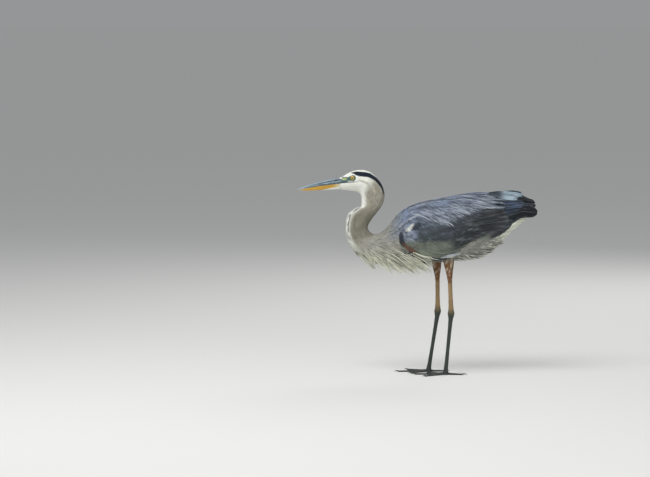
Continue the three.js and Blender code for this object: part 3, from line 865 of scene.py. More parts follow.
class HeronSizes(bpy.types.PropertyGroup):
    """The sizes of the coat and of the eye."""

    head_feather: length_of("Head feather", "Length of the feathers on the crown", 7)
    neck_feather: length_of("Neck feather", "Length of the feathers on the neck", 16)
    breast_feather: length_of("Breast feather", "Length of the feathers on the breast", 44)
    mantle_feather: length_of("Mantle feather", "Length of the feathers on the back", 34)
    scapular: length_of("Scapular plume", "Length of the plumes that hang from the shoulders", 120)
    covert: length_of("Covert", "Length of the feathers on the wing", 24)
    layers: number("Layers", "How many feathers lie over each other", 4.5)
    pupil: length_of("Pupil", "Width of the pupil", 5)
    voxel: length_of("Leg detail", "Finest detail of the skin on the legs", 1.1)


class HeronStage(bpy.types.PropertyGroup):
    """The camera, the floor and the lights."""

    distance: length_of("Camera distance", "From the camera to the bird", 9000)
    elevation: bpy.props.FloatProperty(
        name="Elevation", description="How far the camera looks down", default=math.radians(4.5),
        subtype="ANGLE",
    )
    view_width: length_of("View width", "Width that the camera takes in at the bird", 2080)
    floor: length_of("Floor", "Half width of the floor", 300000)
    key: number("Key light", "Power of the main light, in watts", 132)
    fill: number("Fill light", "Power of the light from the camera's side, in watts", 40)
    sky: number("Sky", "Strength of the light from all round", 0.44)
    floor_colour: dye("Floor colour", "The plain floor", "D9D8D4")
    backdrop: dye("Backdrop", "The grey beyond the far floor", "959697")


def dyes():
    """The colours of the settings as arrays."""
    group = bpy.context.scene.heron_colours
    return SimpleNamespace(**{key: np.array(getattr(group, key)) for key in HeronColours.__annotations__})


def sizes():
    """The sizes of the settings."""
    return bpy.context.scene.heron_sizes


# ---- materials ----
def wire(tree, kind, inputs=None, **settings):
    """A new shader node with its settings, and with values or other nodes' outputs in its inputs."""
    node = tree.nodes.new(kind)
    for key, value in settings.items():
        setattr(node, key, value)
    for socket, value in (inputs or {}).items():
        if isinstance(value, bpy.types.NodeSocket):
            tree.links.new(value, node.inputs[socket])
        else:
            node.inputs[socket].default_value = value
    return node


def new_material(name, roughness, constants=()):
    """A material, its node tree and its shader, with the shader's constants set."""
    made = bpy.data.materials.new(name)
    made.use_nodes = True
    shader = made.node_tree.nodes["Principled BSDF"]
    shader.inputs["Roughness"].default_value = roughness
    for socket, value in constants:
        shader.inputs[socket].default_value = value
    return made, made.node_tree, shader


def math_node(tree, operation, *numbers):
    """The output of one sum."""
    return wire(tree, "ShaderNodeMath", dict(enumerate(numbers)), operation=operation).outputs[0]


def coat_tint(tree):
    """The tint that a mesh keeps for each vertex."""
    return wire(tree, "ShaderNodeAttribute", attribute_name="Coat").outputs["Color"]


def toned(tree, colour, factor, low, high):
    """A colour made darker or lighter where a factor runs from 0 to 1."""
    ends = {"Value": factor, "To Min": low, "To Max": high}
    span = wire(tree, "ShaderNodeMapRange", ends).outputs["Result"]
    grey = wire(tree, "ShaderNodeCombineColor", {"Red": span, "Green": span, "Blue": span}).outputs["Color"]
    node = wire(tree, "ShaderNodeMix", {0: 1.0, 6: colour, 7: grey}, data_type="RGBA", blend_type="MULTIPLY")
    return node.outputs[2]


def grain(tree, scale, detail=3.0, stretch=(1, 1, 1)):
    """Noise over the object's own coordinates."""
    place = wire(tree, "ShaderNodeTexCoord").outputs["Object"]
    mapped = wire(tree, "ShaderNodeMapping", {"Vector": place, "Scale": stretch}).outputs["Vector"]
    noise = {"Vector": mapped, "Scale": scale, "Detail": detail}
    return wire(tree, "ShaderNodeTexNoise", noise).outputs["Fac"]


def raised(tree, shader, height, distance, strength=0.6):
    """Bumps the shader's surface by a height."""
    bump = wire(tree, "ShaderNodeBump", {"Height": height, "Distance": distance, "Strength": strength})
    tree.links.new(bump.outputs["Normal"], shader.inputs["Normal"])


def plumage_material(name, roughness, barbs, contrast):
    """Feathers: the vane's own tint, with fine barbs slanting off its shaft, so many for each 10 mm."""
    made, tree, shader = new_material(name, roughness, (("Sheen Weight", 0.08), ("Specular IOR Level", 0.2)))
    vane = wire(tree, "ShaderNodeUVMap", uv_map="Vane").outputs["UV"]
    parts = wire(tree, "ShaderNodeSeparateXYZ", {"Vector": vane})
    side = math_node(tree, "ABSOLUTE", math_node(tree, "SUBTRACT", parts.outputs["X"], 0.5))
    slant = math_node(tree, "SUBTRACT", parts.outputs["Y"], side)
    wave = math_node(tree, "SINE", math_node(tree, "MULTIPLY", slant, barbs * math.tau))
    barb = math_node(tree, "MULTIPLY_ADD", wave, 0.5, 0.5)
    tint = coat_tint(tree)
    for scale in (420.0, 90.0):
        tint = toned(tree, tint, grain(tree, scale), 1 - contrast, 1 + contrast)
    tint = toned(tree, tint, barb, 1 - contrast * 0.7, 1 + contrast * 0.4)
    tree.links.new(tint, shader.inputs["Base Color"])
    raised(tree, shader, barb, 0.12 * MM, 0.5)
    return made


def skin_material():
    """Bare skin: its tint, with small scales and creases."""
    made, tree, shader = new_material("heron_skin", 0.5, [("Specular IOR Level", 0.4)])
    place = wire(tree, "ShaderNodeTexCoord").outputs["Object"]
    cells = wire(tree, "ShaderNodeTexVoronoi", {"Vector": place, "Scale": 950.0}, feature="DISTANCE_TO_EDGE")
    edges = {"Value": cells.outputs["Distance"], "From Max": 0.12}
    scale = wire(tree, "ShaderNodeMapRange", edges).outputs["Result"]
    tint = toned(tree, coat_tint(tree), grain(tree, 180.0), 0.8, 1.18)
    tree.links.new(toned(tree, tint, scale, 0.84, 1.02), shader.inputs["Base Color"])
    raised(tree, shader, scale, 0.1 * MM, 0.6)
    return made


def scale_material():
    """Dull scales of the legs."""
    made, tree, shader = new_material("leg_scales", 0.5, [("Specular IOR Level", 0.4)])
    tint = toned(tree, coat_tint(tree), grain(tree, 300.0), 0.82, 1.16)
    tree.links.new(toned(tree, tint, grain(tree, 45.0), 0.85, 1.12), shader.inputs["Base Color"])
    raised(tree, shader, grain(tree, 700.0), 0.1 * MM, 0.4)
    return made


def horn_material(name, roughness, low, high, stretch):
    """Horn: its tint with growth lines along it, under a dull polish."""
    made, tree, shader = new_material(name, roughness, (("Coat Weight", 0.15), ("Coat Roughness", 0.3)))
    lines = grain(tree, 110.0, 5.0, stretch)
    tint = toned(tree, coat_tint(tree), grain(tree, 60.0, 2.0), 0.9, 1.1)
    tree.links.new(toned(tree, tint, lines, low, high), shader.inputs["Base Color"])
    raised(tree, shader, lines, 0.25 * MM, 0.5)
    return made


def eye_material():
    """A wet eye: a black pupil in a golden iris with fine rays and a dark rim, by the angle from its axis."""
    made, tree, shader = new_material("heron_eye", 0.12, (("Coat Weight", 1.0), ("Coat Roughness", 0.02)))
    angle = wire(tree, "ShaderNodeAttribute", attribute_name="Iris").outputs["Fac"]
    rays = grain(tree, 900.0, 2.0)
    ringed = math_node(tree, "ADD", angle, math_node(tree, "MULTIPLY_ADD", rays, 0.03, -0.015))
    colours = wire(tree, "ShaderNodeValToRGB", {"Fac": ringed})
    stops = colours.color_ramp.elements
    pupil = math.asin(sizes().pupil / 2 / (EYE.radius * MM)) / math.pi
    stops[0].position, stops[0].color = pupil, (0.004, 0.004, 0.005, 1)
    stops[1].position, stops[1].color = 0.4, (0.01, 0.012, 0.012, 1)
    for place, code in (
        (pupil + 0.012, "8E7420"), (pupil + 0.05, "CBAA38"), (0.2, "C09A2C"), (0.245, "8E7022"),
        (0.275, "2A2418"),
    ):
        stops.new(place).color = (*linear(code), 1)
    tint = toned(tree, colours.outputs["Color"], rays, 0.75, 1.2)
    tree.links.new(tint, shader.inputs["Base Color"])
    return made


# ---- skin ----
def loft(bm, net):
    """Adds a closed tube over a net of points whose columns run round, with its two ends capped."""
    rows, around = net.shape[:2]
    sheet = bmesh.ops.create_grid(bm, x_segments=rows - 1, y_segments=around, size=1)["verts"]
    for vert in sheet:
        row = round((vert.co.x + 1) / 2 * (rows - 1))
        column = round((vert.co.y + 1) / 2 * around) % around
        vert.co = net[row, column]
    bmesh.ops.remove_doubles(bm, verts=sheet, dist=1e-7)
    rims = [edge for edge in bm.edges if edge.is_boundary]
    caps = bmesh.ops.holes_fill(bm, edges=rims, sides=0)["faces"]
    bmesh.ops.poke(bm, faces=caps)


def rounded(place, rows, around):
    """A net for loft from a form's place function, at given rows and evenly round it."""
    turns = np.arange(around) * math.tau / around
    return place(*np.meshgrid(rows, turns, indexing="ij"))


def mesh_of(bm, name):
    """The bmesh as a mesh that faces outwards. The bmesh is used up."""
    bmesh.ops.recalc_face_normals(bm, faces=bm.faces[:])
    mesh = bpy.data.meshes.new(name)
    bm.to_mesh(mesh)
    bm.free()
    return mesh


def modified(mesh, *modifiers):
    """The mesh after modifiers, each (kind, settings)."""
    worker = in_scene("worker", mesh)
    for kind, settings in modifiers:
        modifier = worker.modifiers.new(kind, kind)
        for key, value in settings.items():
            setattr(modifier, key, value)
    graph = bpy.context.evaluated_depsgraph_get()
    made = bpy.data.meshes.new_from_object(worker.evaluated_get(graph))
    bpy.data.objects.remove(worker)
    return made


def leg_mesh():
    """Both bare legs with their toes, melted together."""
    bm = bmesh.new()
    heights = np.concatenate([np.linspace(0, 232, 150), np.linspace(235, LEG_TOP, 60)])
    for leg in LEGS.values():
        loft(bm, rounded(leg_place(leg, lambda z: table(THIGH_COAT, z)), heights, 36))
        for turn, length, _ in TOES:
            loft(bm, rounded(toe_place(leg, turn, length), np.linspace(0, 1, 60), 24))
    return modified(
        mesh_of(bm, "legs"),
        ("REMESH", {"mode": "VOXEL", "voxel_size": sizes().voxel}),
        ("SMOOTH", {"factor": 0.5, "iterations": 3}),
    )


def trunk_net():
    """The skin of head, neck and trunk, under the coat, with its finest rows on the face."""
    face_end = 4.6
    stations = np.concatenate([
        np.linspace(0, face_end, 120, endpoint=False), np.linspace(face_end, BODY_END, 110)
    ])
    net = rounded(body_place, stations, 120)
    closed = np.concatenate([net, net[:, :1]], axis=1)
    normals = facing(net_normals(closed, True)[:, :-1], net - net.mean(axis=1, keepdims=True))
    return net - normals * table(COAT_DEPTH, stations)[:, None, None] * MM


def arm_net(sign):
    """The folded arm and hand inside a wing."""
    stations, around = np.linspace(0.5, 7.5, 60), 32
    turns = np.arange(around) * math.tau / around
    station, turn = np.meshgrid(stations, turns, indexing="ij")
    down = 0.5 - 0.42 * np.cos(turn)
    outer = wing_place(sign, 0.1)(station, down)
    inner = wing_place(sign, -0.55)(station, down)
    return mix(inner, outer, (0.5 + 0.5 * np.sin(turn))[..., None])


def eye_frame(sign):
    """The middle of an eye, the way it looks, and the turn of a shape that points up to that way."""
    forward, upward = math.radians(EYE.forward), math.radians(EYE.upward)
    level = math.cos(upward)
    way = Vector((-math.sin(forward) * level, sign * math.cos(forward) * level, math.sin(upward)))
    turn = way.to_track_quat("Z", "Y").to_matrix().to_4x4()
    return Vector((EYE.x, sign * EYE.apart, EYE.z)) * MM, way, turn


def lid_mesh(sign):
    """The ring of bare lid round an eye, longer than it is high."""
    bm = bmesh.new()
    bmesh.ops.create_circle(bm, segments=14, radius=LID.thick * MM)
    bmesh.ops.rotate(bm, verts=bm.verts[:], matrix=Matrix.Rotation(math.pi / 2, 3, "X"))
    bmesh.ops.translate(bm, verts=bm.verts[:], vec=(LID.long * MM, 0, 0))
    bmesh.ops.spin(
        bm, geom=bm.verts[:] + bm.edges[:], cent=(0, 0, 0), axis=(0, 0, 1), angle=math.tau, steps=56,
        use_merge=True,
    )
    bmesh.ops.remove_doubles(bm, verts=bm.verts[:], dist=1e-6)
    middle, way, turn = eye_frame(sign)
    narrowed = Matrix.Diagonal((1, LID.high / LID.long, 1, 1))
    bmesh.ops.transform(bm, verts=bm.verts[:], matrix=turn @ narrowed)
    bmesh.ops.translate(bm, verts=bm.verts[:], vec=middle + way * LID.out * MM)
    return mesh_of(bm, "lid")


def united(base, others):
    """One closed mesh out of several that overlap."""
    group = bpy.data.collections.new("joining")
    bpy.context.scene.collection.children.link(group)
    for mesh in others:
        group.objects.link(bpy.data.objects.new("joining", mesh))
    union = {"operation": "UNION", "solver": "EXACT", "operand_type": "COLLECTION", "collection": group}
    made = modified(base, ("BOOLEAN", union))
    for helper in group.objects[:]:
        bpy.data.objects.remove(helper)
    bpy.data.collections.remove(group)
    return made


def points_of(mesh):
    """The vertices of a mesh as an array."""
    points = np.zeros(len(mesh.vertices) * 3, np.float32)
    mesh.vertices.foreach_get("co", points)
    return points.reshape(-1, 3).astype(float)


def tree_of(indices, points):
    """A search tree over points, each under its own index."""
    tree = kdtree.KDTree(len(indices))
    for index, point in zip(indices, points):
        tree.insert(point, index)
    tree.balance()
    return tree


def skin_tint(mesh):
    """The tint of each vertex of the skin, by the form that it lies nearest to."""
    points = points_of(mesh)
    net = BODY_FORM.net[:, :-1].reshape(-1, 3)
    tree = tree_of(range(len(net)), net)
    found = [tree.find(point) for point in points]
    nearest = np.array([hit[1] for hit in found])
    apart = np.array([hit[2] for hit in found])
    around = BODY_FORM.net.shape[1] - 1
    station = np.linspace(*BODY_FORM.rows)[nearest // around]
    angle = np.linspace(*BODY_FORM.columns)[nearest % around]
    tint = body_tint(points, station, angle)
    x, _, z = millimetres(points)
    on_leg = (z < 395) & (apart > 9 * MM) & (x > 0)
    return np.where((on_leg | (z < 330))[:, None], leg_tint(points), tint)


def build_skin():
    """The skin of the whole bird in place of its nodes of flesh."""
    bm = bmesh.new()
    loft(bm, trunk_net())
    extras = [leg_mesh()]
    for _, sign in SIDES:
        arm = bmesh.new()
        loft(arm, arm_net(sign))
        extras += [mesh_of(arm, "arm"), lid_mesh(sign)]
    mesh = united(mesh_of(bm, "trunk"), extras)
    mesh.name = "skin"
    paint(mesh, skin_tint(mesh))
    mesh.shade_smooth()
    flesh = ["head", "neck_upper", "neck_middle", "neck_bend", "neck_base", "trunk"]
    for side, _ in SIDES:
        flesh += [f"{part}_{side}" for part in ("thigh", "shank", "ankle", "tarsus", "foot")]
        flesh += [f"toe_{side}_{digit}" for digit in DIGITS]
    placed("skin", mesh, skin_material(), flesh)


# ---- bill, eyes and claws ----
def bill_place(upper):
    """Half of the bill: a dagger, flat at the gape, with a groove from the nostril on the upper half."""

    def place(along, turn):
        x, ridge, gape, keel, half = spline(BILL, along * (len(BILL) - 1))
        rise = np.maximum(0, np.sin(turn))
        edge = gape + (0.1 if upper else -0.1)
        share = rise ** 0.8
        z = mix(edge, ridge if upper else keel, share)
        across = np.cos(turn) * half * (1 - rise * 0.25)
        side = np.clip(across / 0.8, -1, 1)
        if upper:
            groove = NOSTRIL.groove * bell(share, NOSTRIL.height, 0.1) * ramp(x, NOSTRIL.groove_end, -285)
            slit = np.exp(-(((share - NOSTRIL.height) / 0.06) ** 2) - ((x - NOSTRIL.x) / NOSTRIL.long) ** 4)
            across = across - side * (groove + NOSTRIL.deep * slit)
        else:
            across = across - side * 0.5 * bell(share, 0.45, 0.12) * ramp(x, -345, -300)
        x = x - BILL_RAKE * (BILL[0][1] - z) * (1 - along) ** 3
        return np.stack([x, across, z], -1) * MM

    return place


def bill_line(x, row):
    """A number of BILL at a place along X."""
    return np.interp(x, [station[0] for station in BILL[::-1]], [station[row] for station in BILL[::-1]])


def bill_tint(points, upper):
    """Slate above, with paler streaks along its middle and a pale line along its ridge that are painted
    highlight, a nostril painted dark as painted shade, and a paler tip. Yellow below, pale at its root and
    keel.
    """
    dyed = dyes()
    x, _, z = millimetres(points)
    ridge, gape, keel = (bill_line(x, row) for row in (1, 2, 3))
    bill_streaks = mix(cloud(z * 1.3, x * 0.035, 4), cloud(z * 3.1, x * 0.09, 6), 0.45)
    if not upper:
        chin = chin_height(x)
        return washed(
            dyed.bill_low,
            (dyed.bill_pale, 0.55 * ramp(x, -358, -380)),
            (dyed.bill_root, 0.85 * ramp(x + 26 * (bill_streaks - 0.5), -276, -250)),
            (dyed.bill_edge, 0.35 * ramp(gape - z, 2.2, 0.4) * ramp(x, -330, -280)),
            (dyed.white, ramp(z - keel, chin, chin - 1.5) * ramp(x, -307, -301)),
        )
    level = np.clip((z - gape) / np.maximum(ridge - gape, 0.5), 0, 1)
    middle = bell(level, 0.4, 0.17)
    slit = np.exp(-(((x - NOSTRIL.x) / NOSTRIL.long) ** 4))
    slit = slit * ramp(np.abs(level - NOSTRIL.height), 0.13, 0.04)
    low = ramp(z - gape, 3.6, 0.6) * ramp(x, -345, -270) * mix(0.4, 1, ramp(bill_streaks, 0.2, 0.6))
    return washed(
        dyed.bill,
        # Paler streaks along the middle of the upper bill: painted highlight.
        (dyed.bill_pale, middle * ramp(bill_streaks, 0.42, 0.66)),
        (dyed.bill_edge, 0.5 * middle * ramp(bill_streaks, 0.4, 0.2) * ramp(x, -350, -330)),
        (dyed.bill_pale, 0.6 * ramp(x, -335, -378) * mix(0.6, 1, bill_streaks)),
        # Paler along the top of the ridge: painted highlight.
        (dyed.bill_pale, ramp(level, 0.7, 0.92) * mix(0.15, 0.75, bill_streaks)),
        (dyed.bill_edge, 0.75 * bell(level, 0.62, 0.09) * ramp(x, -332, -300)),
        # The nostril's slit painted nearly black: painted shade in its opening.
        (dyed.bill_edge, 0.95 * slit),
        (dyed.bill_edge, 0.8 * low),
        (dyed.bill_edge, 0.45 * ramp(x, -275, -246) * mix(0.5, 1, bill_streaks)),
    )


def chin_height(x):
    """How far the feathers of the chin reach up the sides of the lower bill."""
    return table(((-306, 0.8), (-296, 3), (-280, 5.5), (-262, 7.5), (-250, 9.5), (-243, 15)), x)


def build_bill():
    """The two halves of the bill."""
    for name, upper in (("bill_upper", True), ("bill_lower", False)):
        bm = bmesh.new()
        loft(bm, rounded(bill_place(upper), np.linspace(-0.1, 1, 165), 72))
        mesh = mesh_of(bm, name)
        paint(mesh, bill_tint(points_of(mesh), upper))
        mesh.shade_smooth()
        mesh.set_sharp_from_angle(angle=math.radians(50))
        horn = horn_material(name, 0.42, 0.72, 1.2, (0.16, 1, 1))
        placed(f"{name}_horn", mesh, horn, [name])


def build_eyes():
    """Each eye as a ball with a fuller cornea."""
    for side, sign in SIDES:
        middle, _, turn = eye_frame(sign)
        bm = bmesh.new()
        bmesh.ops.create_uvsphere(bm, u_segments=56, v_segments=48, radius=1)
        angles = []
        for vert in bm.verts:
            angle = vert.co.angle(Vector((0, 0, 1)))
            angles.append(angle / math.pi)
            bulge = 0.5 * (1 + math.cos(min(angle / math.radians(55), 1) * math.pi))
            vert.co *= (EYE.radius - 0.35 + 0.7 * bulge) * MM
        bmesh.ops.transform(bm, verts=bm.verts[:], matrix=turn)
        bmesh.ops.translate(bm, verts=bm.verts[:], vec=middle)
        mesh = mesh_of(bm, f"eye_{side}")
        layer = mesh.attributes.new(name="Iris", type="FLOAT", domain="POINT")
        layer.data.foreach_set("value", np.array(angles, np.float32))
        mesh.shade_smooth()
        placed(f"eyeball_{side}", mesh, eye_material(), [f"eye_{side}"])


def claw_net(leg, turn, length, claw):
    """A claw that hooks down from the end of its toe."""

    def place(along, round_):
        radius = mix(CLAW.root, CLAW.tip, along ** 1.2) * mix(1, 0.8, np.abs(np.sin(round_)))
        level = CLAW.height + CLAW.arch * np.sin(along * np.pi) - CLAW.drop * along * along
        reach, across = length - 1.5 + (claw + 1.5) * along, np.cos(round_) * radius
        return on_floor(leg, turn, reach, across, np.maximum(0.05, level + np.sin(round_) * radius * 1.15))

    return rounded(place, np.linspace(0, 1, 26), 18)


def build_claws():
    """The claws of each foot as one piece, since they are one kind of horn."""
    material = horn_material("claw", 0.35, 0.7, 1.25, (1, 1, 1))
    for side, leg in LEGS.items():
        bm = bmesh.new()
        for turn, length, claw in TOES:
            loft(bm, claw_net(leg, turn, length, claw))
        mesh = mesh_of(bm, f"claws_{side}")
        paint(mesh, np.broadcast_to(dyes().claw, (len(mesh.vertices), 3)))
        mesh.shade_smooth()
        nodes = [f"claw_{side}_{digit}" for digit in DIGITS]
        placed(f"claws_{side}", mesh, material, nodes)


# ---- coats ----
def seated(points, normals, outline, low, high):
    """Spines lifted from low millimetres at their roots to high millimetres at their tips."""
    lift = mix(np.reshape(low, (-1, 1)), np.reshape(high, (-1, 1)), lengthwise(outline) ** 0.7)
    return points + normals * (lift * MM)[..., None]


def sized(lengths, halves, full=MM):
    """size for cover: a table of lengths by row, in shares of a full one, and a table of half widths."""
    return lambda a: (full / MM * table(lengths, a), table(halves, a))


def cover(coat, form, rows, columns, size, tint, layers, outline=POINTED, keep=None, depth=1.0, tip=0.2,
          turn=0.0, stray=0.12, lie=None, ridge=0.14, shade=0.07, rim=None, cells=(160, 96), band=(0, 1)):
    """Covers a stretch of a form with vanes, so many layers deep. size(a) gives their length and half width
    in millimetres, tint(points, a, b) their colour, and keep(points, a, b) the share of them that grow."""

    def density(points, a, b):
        length, half = size(a)
        wanted = layers / (length * half * 2 * MM * MM)
        return wanted if keep is None else wanted * keep(points, a, b)

    rng = coat.rng
    a, b = scatter(form, rows, columns, density, rng, cells)
    length, half = size(a)
    count = len(a)
    length = length * rng.uniform(0.82, 1.18, count) * MM
    half = half * rng.uniform(0.85, 1.15, count) * MM
    turns = turn + rng.normal(0, stray, count)
    points, normals, path_a, path_b = walk(form, a, b, length, outline, turns, lie)
    tints = tint(points, path_a, path_b)
    middle = len(outline) // 2
    tints = mix(tints, tints[:, middle:middle + 1], 0.5)
    low = -0.85 * (depth(a) if callable(depth) else depth) * np.ones(count)
    spine = seated(points, normals, outline, low, tip * rng.uniform(-0.6, 1, count))
    roots = spread(form, a, b, band)
    coat.lay(spine, normals, half, ridge * MM, varied(rng, tints, shade), roots, outline, rim=rim)


def skin_depth(station):
    """How deep the skin of head, neck and trunk lies."""
    return table(COAT_DEPTH, station)


def feather_head():
    """Short feathers over the head, none on the lore, the lids and the line of the mouth."""
    coat = Coat("head_feathers", 11)
    lengths, halves = ((0, 0.5), (1.5, 0.65), (3, 1), (4.7, 1.5)), ((0, 0.5), (2, 0.68), (4.7, 1.1))

    def keep(points, a, b):
        x, _, z = millimetres(points)
        eye = np.hypot(x - EYE.x, (z - EYE.z) * LID.long / LID.high)
        bare = np.maximum(trail(points, LORE, 0.4), trail(points, GAPE_LINE, 0.2))
        return ramp(eye, LID.long + 0.9, LID.long + 1.4) * (1 - bare)

    size = sized(lengths, halves, sizes().head_feather)
    cover(coat, BODY_FORM, (-0.08, 4.7), ALL_ROUND, size, body_tint, sizes().layers * 1.5, SHORT, keep,
          depth=skin_depth, tip=0.12, stray=0.13, ridge=0.09, cells=(150, 150), band=(0, 0.85))
    fringe_bill(coat, True, (0, 0.12), (0.86, 0.92))
    fringe_bill(coat, False, (0, 0.36), (0.93, 1))
    coat.feathered("head_feathers", 0.85, 20.0, 0.06)


def fringe_bill(coat, upper, rows, band):
    """Tiny feathers over the root of the bill, on the forehead and under the chin."""
    form = Form(bill_place(upper), (0, 1, 150), (*ALL_ROUND, 97))

    def keep(points, a, b):
        x, _, z = millimetres(points)
        if upper:
            back = ramp(x, -244, -257)
            return ramp(z, mix(624.5, 629, back), mix(626, 630, back))
        return ramp(z - bill_line(x, 3), chin_height(x), chin_height(x) - 0.8)

    def tint(points, a, b):
        return np.broadcast_to(dyes().white, points.shape)

    cover(coat, form, rows, (0, math.pi), sized(((0, 4.2),), ((0, 0.42),)), tint, 6.0, SHORT, keep,
          depth=0.1, tip=0.35, turn=math.pi, stray=0.15, ridge=0.09, cells=(60, 60), band=band)


def feather_neck():
    """Soft narrow feathers down the neck."""
    lengths, halves = ((4.3, 0.7), (7, 0.95), (10, 1.1), (13.4, 1.6)), ((4.3, 1.0), (13.4, 1.5))
    size = sized(lengths, halves, sizes().neck_feather)
    for part, rows, seed in (("upper", (4.3, 9.1), 21), ("lower", (8.9, 13.4), 22)):
        coat = Coat(f"neck_feathers_{part}", seed)
        cover(coat, BODY_FORM, rows, ALL_ROUND, size, body_tint, sizes().layers * 1.3, depth=skin_depth,
              tip=0.45, stray=0.09, ridge=0.12, shade=0.08, cells=(180, 110))
        coat.feathered("neck_feathers", 0.85, 12.0, 0.08)


FAN_CENTRE = (-255, 466)  # the feathers of the breast fan out as if from this place before the neck
PLUME_ENDS = (  # how low most of the plumes hang, by x
    (-230, 428), (-196, 397), (-157, 364), (-103, 343), (-51, 331), (-15, 324), (20, 321), (60, 317),
    (90, 312),
)
PLUMES_END_AT = 66  # how far back the plumes reach under the belly
PLUME_SAG = 0.38  # how much steeper a free plume hangs than the feathers that it grows among
PLUME_LENGTHS = (26, 190)  # the shortest that is kept, and the longest


def falling(angle):
    """Directions back along the bird that fall by an angle and lean to neither side."""
    return np.stack([np.cos(angle), np.zeros_like(angle), -np.sin(angle)], -1)


def fan_way(points):
    """The lie of the breast feathers: along the fan, and up the foot of the neck on its upper side."""
    x, _, z = millimetres(points)
    fall = np.arctan2(FAN_CENTRE[1] - z, x - FAN_CENTRE[0])
    above = ramp(z - table(((-160, 448), (-120, 446), (-60, 478), (0, 500)), x), -22, 10)
    return falling(mix(fall, -0.75, above))


def feather_breast():
    """The base of the neck and the breast: narrow feathers that fan out from the foot of the neck."""
    coat, dyed = Coat("breast_feathers", 31), dyes()
    lengths, halves = ((12.6, 0.5), (14, 0.75), (17.4, 1.0)), ((12.6, 1.2), (17.4, 1.7))

    def keep(points, a, b):
        x, _, z = millimetres(points)
        return 1 - ramp(x, -62, -50) * ramp(z, 395, 410)

    def tint(points, a, b):
        low = ramp(points[..., 2] / MM, 425, 385) * ramp(a, 13.2, 14.4)
        dark = coat.rng.random((len(a), 1, 1)) < 0.4
        return tinted(body_tint(points, a, b), np.where(dark, dyed.plume_dark, dyed.plume_pale), 0.55 * low)

    cover(coat, BODY_FORM, (12.7, 17.6), ALL_ROUND, sized(lengths, halves, sizes().breast_feather), tint,
          sizes().layers * 1.2, LANCE, keep, depth=skin_depth, tip=0.8, stray=0.07, lie=fan_way, ridge=0.18,
          shade=0.12, cells=(120, 120))
    coat.feathered("neck_feathers", 0.85, 9.0, 0.08)


def gathered(points, rng, per_lock, pull, outline):
    """Spines drawn together towards their tips into locks, each round the nearest of some leaders."""
    leaders = rng.choice(len(points), len(points) // per_lock, replace=False)
    tree = tree_of(leaders, points[leaders, -1])
    leader = np.array([tree.find(tip)[1] for tip in points[:, -1]])
    return mix(points, points[leader], (pull * lengthwise(outline) ** 1.5)[:, None])


# The hanging plumes of the breast: the mass, loose ones that reach further, and a white tuft at the front.
# Each has its density, how it fades towards the sides and along X, its reach as a share of the way to
# PLUME_ENDS and in millimetres more, its half width, dye, how many are dark, its locks, and its band of the
# bake map.
PLUMES = (
    SimpleNamespace(
        density=27000, side=(1.5, 0.7), span=((-212, -196), (-14, -40)), reach=(0.7, 1.02), more=(0, 0),
        half=(0.8, 1.4), dye="plume_pale", dark=1.0, per_lock=5, pull=0.4, band=(0, 0.72),
    ),
    SimpleNamespace(
        density=5200, side=(1.5, 0.7), span=((-212, -196), (-14, -40)), reach=(0.95, 1.12), more=(8, 60),
        half=(1.0, 1.6), dye="plume_pale", dark=0.7, per_lock=4, pull=0.45, band=(0.73, 0.9),
    ),
    SimpleNamespace(
        density=46000, side=(0.75, 0.6), span=((-194, -188), (-164, -168)), reach=(0.9, 1.0), more=(24, 50),
        half=(1.3, 2.0), dye="white", dark=0.5, per_lock=11, pull=0.7, band=(0.91, 1),
    ),
)


def hang_plumes():
    """Long pale plumes that hang free from the breast, in locks, loose and a little wavy."""
    coat, dyed = Coat("hanging_plumes", 41), dyes()
    rng = coat.rng
    shares = lengthwise(LANCE_LONG)

    def stream(points):
        way = fan_way(points)
        way[..., 1] = -0.16 * np.sign(points[..., 1]) * ramp(np.abs(points[..., 1]) / MM, 0, 12)
        way[..., 2] -= PLUME_SAG
        return way

    for kind in PLUMES:

        def density(points, a, b):
            front = np.abs(np.mod(b, math.tau) - math.pi)
            x = points[..., 0] / MM
            return kind.density * ramp(front, *kind.side) * ramp(x, *kind.span[0]) * ramp(x, *kind.span[1])

        a, b = scatter(BODY_FORM, (13, 17.6), ALL_ROUND, density, rng, (90, 90))
        reach = plume_reach(kind, BODY_FORM.at(a, b)[0], rng)
        shortest, longest = PLUME_LENGTHS
        kept = reach > shortest
        a, b, length = a[kept], b[kept], np.clip(reach[kept], shortest, longest) * MM
        count = len(a)
        half = rng.uniform(*kind.half, count) * MM * np.clip(length / (90 * MM), 0.75, 1.3)
        points, normals, _, _ = walk(
            BODY_FORM, a, b, length, LANCE_LONG, rng.normal(0, 0.06, count), fan_way,
            ((0, 0), (0.25, 0.15), (0.5, 0.8), (1, 1)), stream,
        )
        points = gathered(points, rng, kind.per_lock, kind.pull, LANCE_LONG)
        bend = rng.normal(0, 0.0035, count)[:, None]
        wave = bend * np.sin(shares * rng.uniform(3, 7, (count, 1)) + rng.uniform(0, 6, (count, 1))) * shares
        points = points + wave[..., None] * np.array((0.35, 0.5, 0.8))
        own, drawn = getattr(dyed, kind.dye), rng.random((count, 1, 1)) * kind.dark
        tint = np.where(drawn < 0.56, own, np.where(drawn < 0.78, dyed.plume_grey, dyed.plume_dark))
        tint = tinted(tint, own, 0.35 * shares ** 2)
        spine = seated(points, normals, LANCE_LONG, -2.0, 1.2 * rng.random(count))
        roots = spread(BODY_FORM, a, b, kind.band)
        coat.lay(spine, normals, half, 0.3 * MM, varied(rng, tint, 0.08), roots, LANCE_LONG)
    coat.feathered("breast_plumes", 0.8, 8.0, 0.08, ["breast_plumes"])


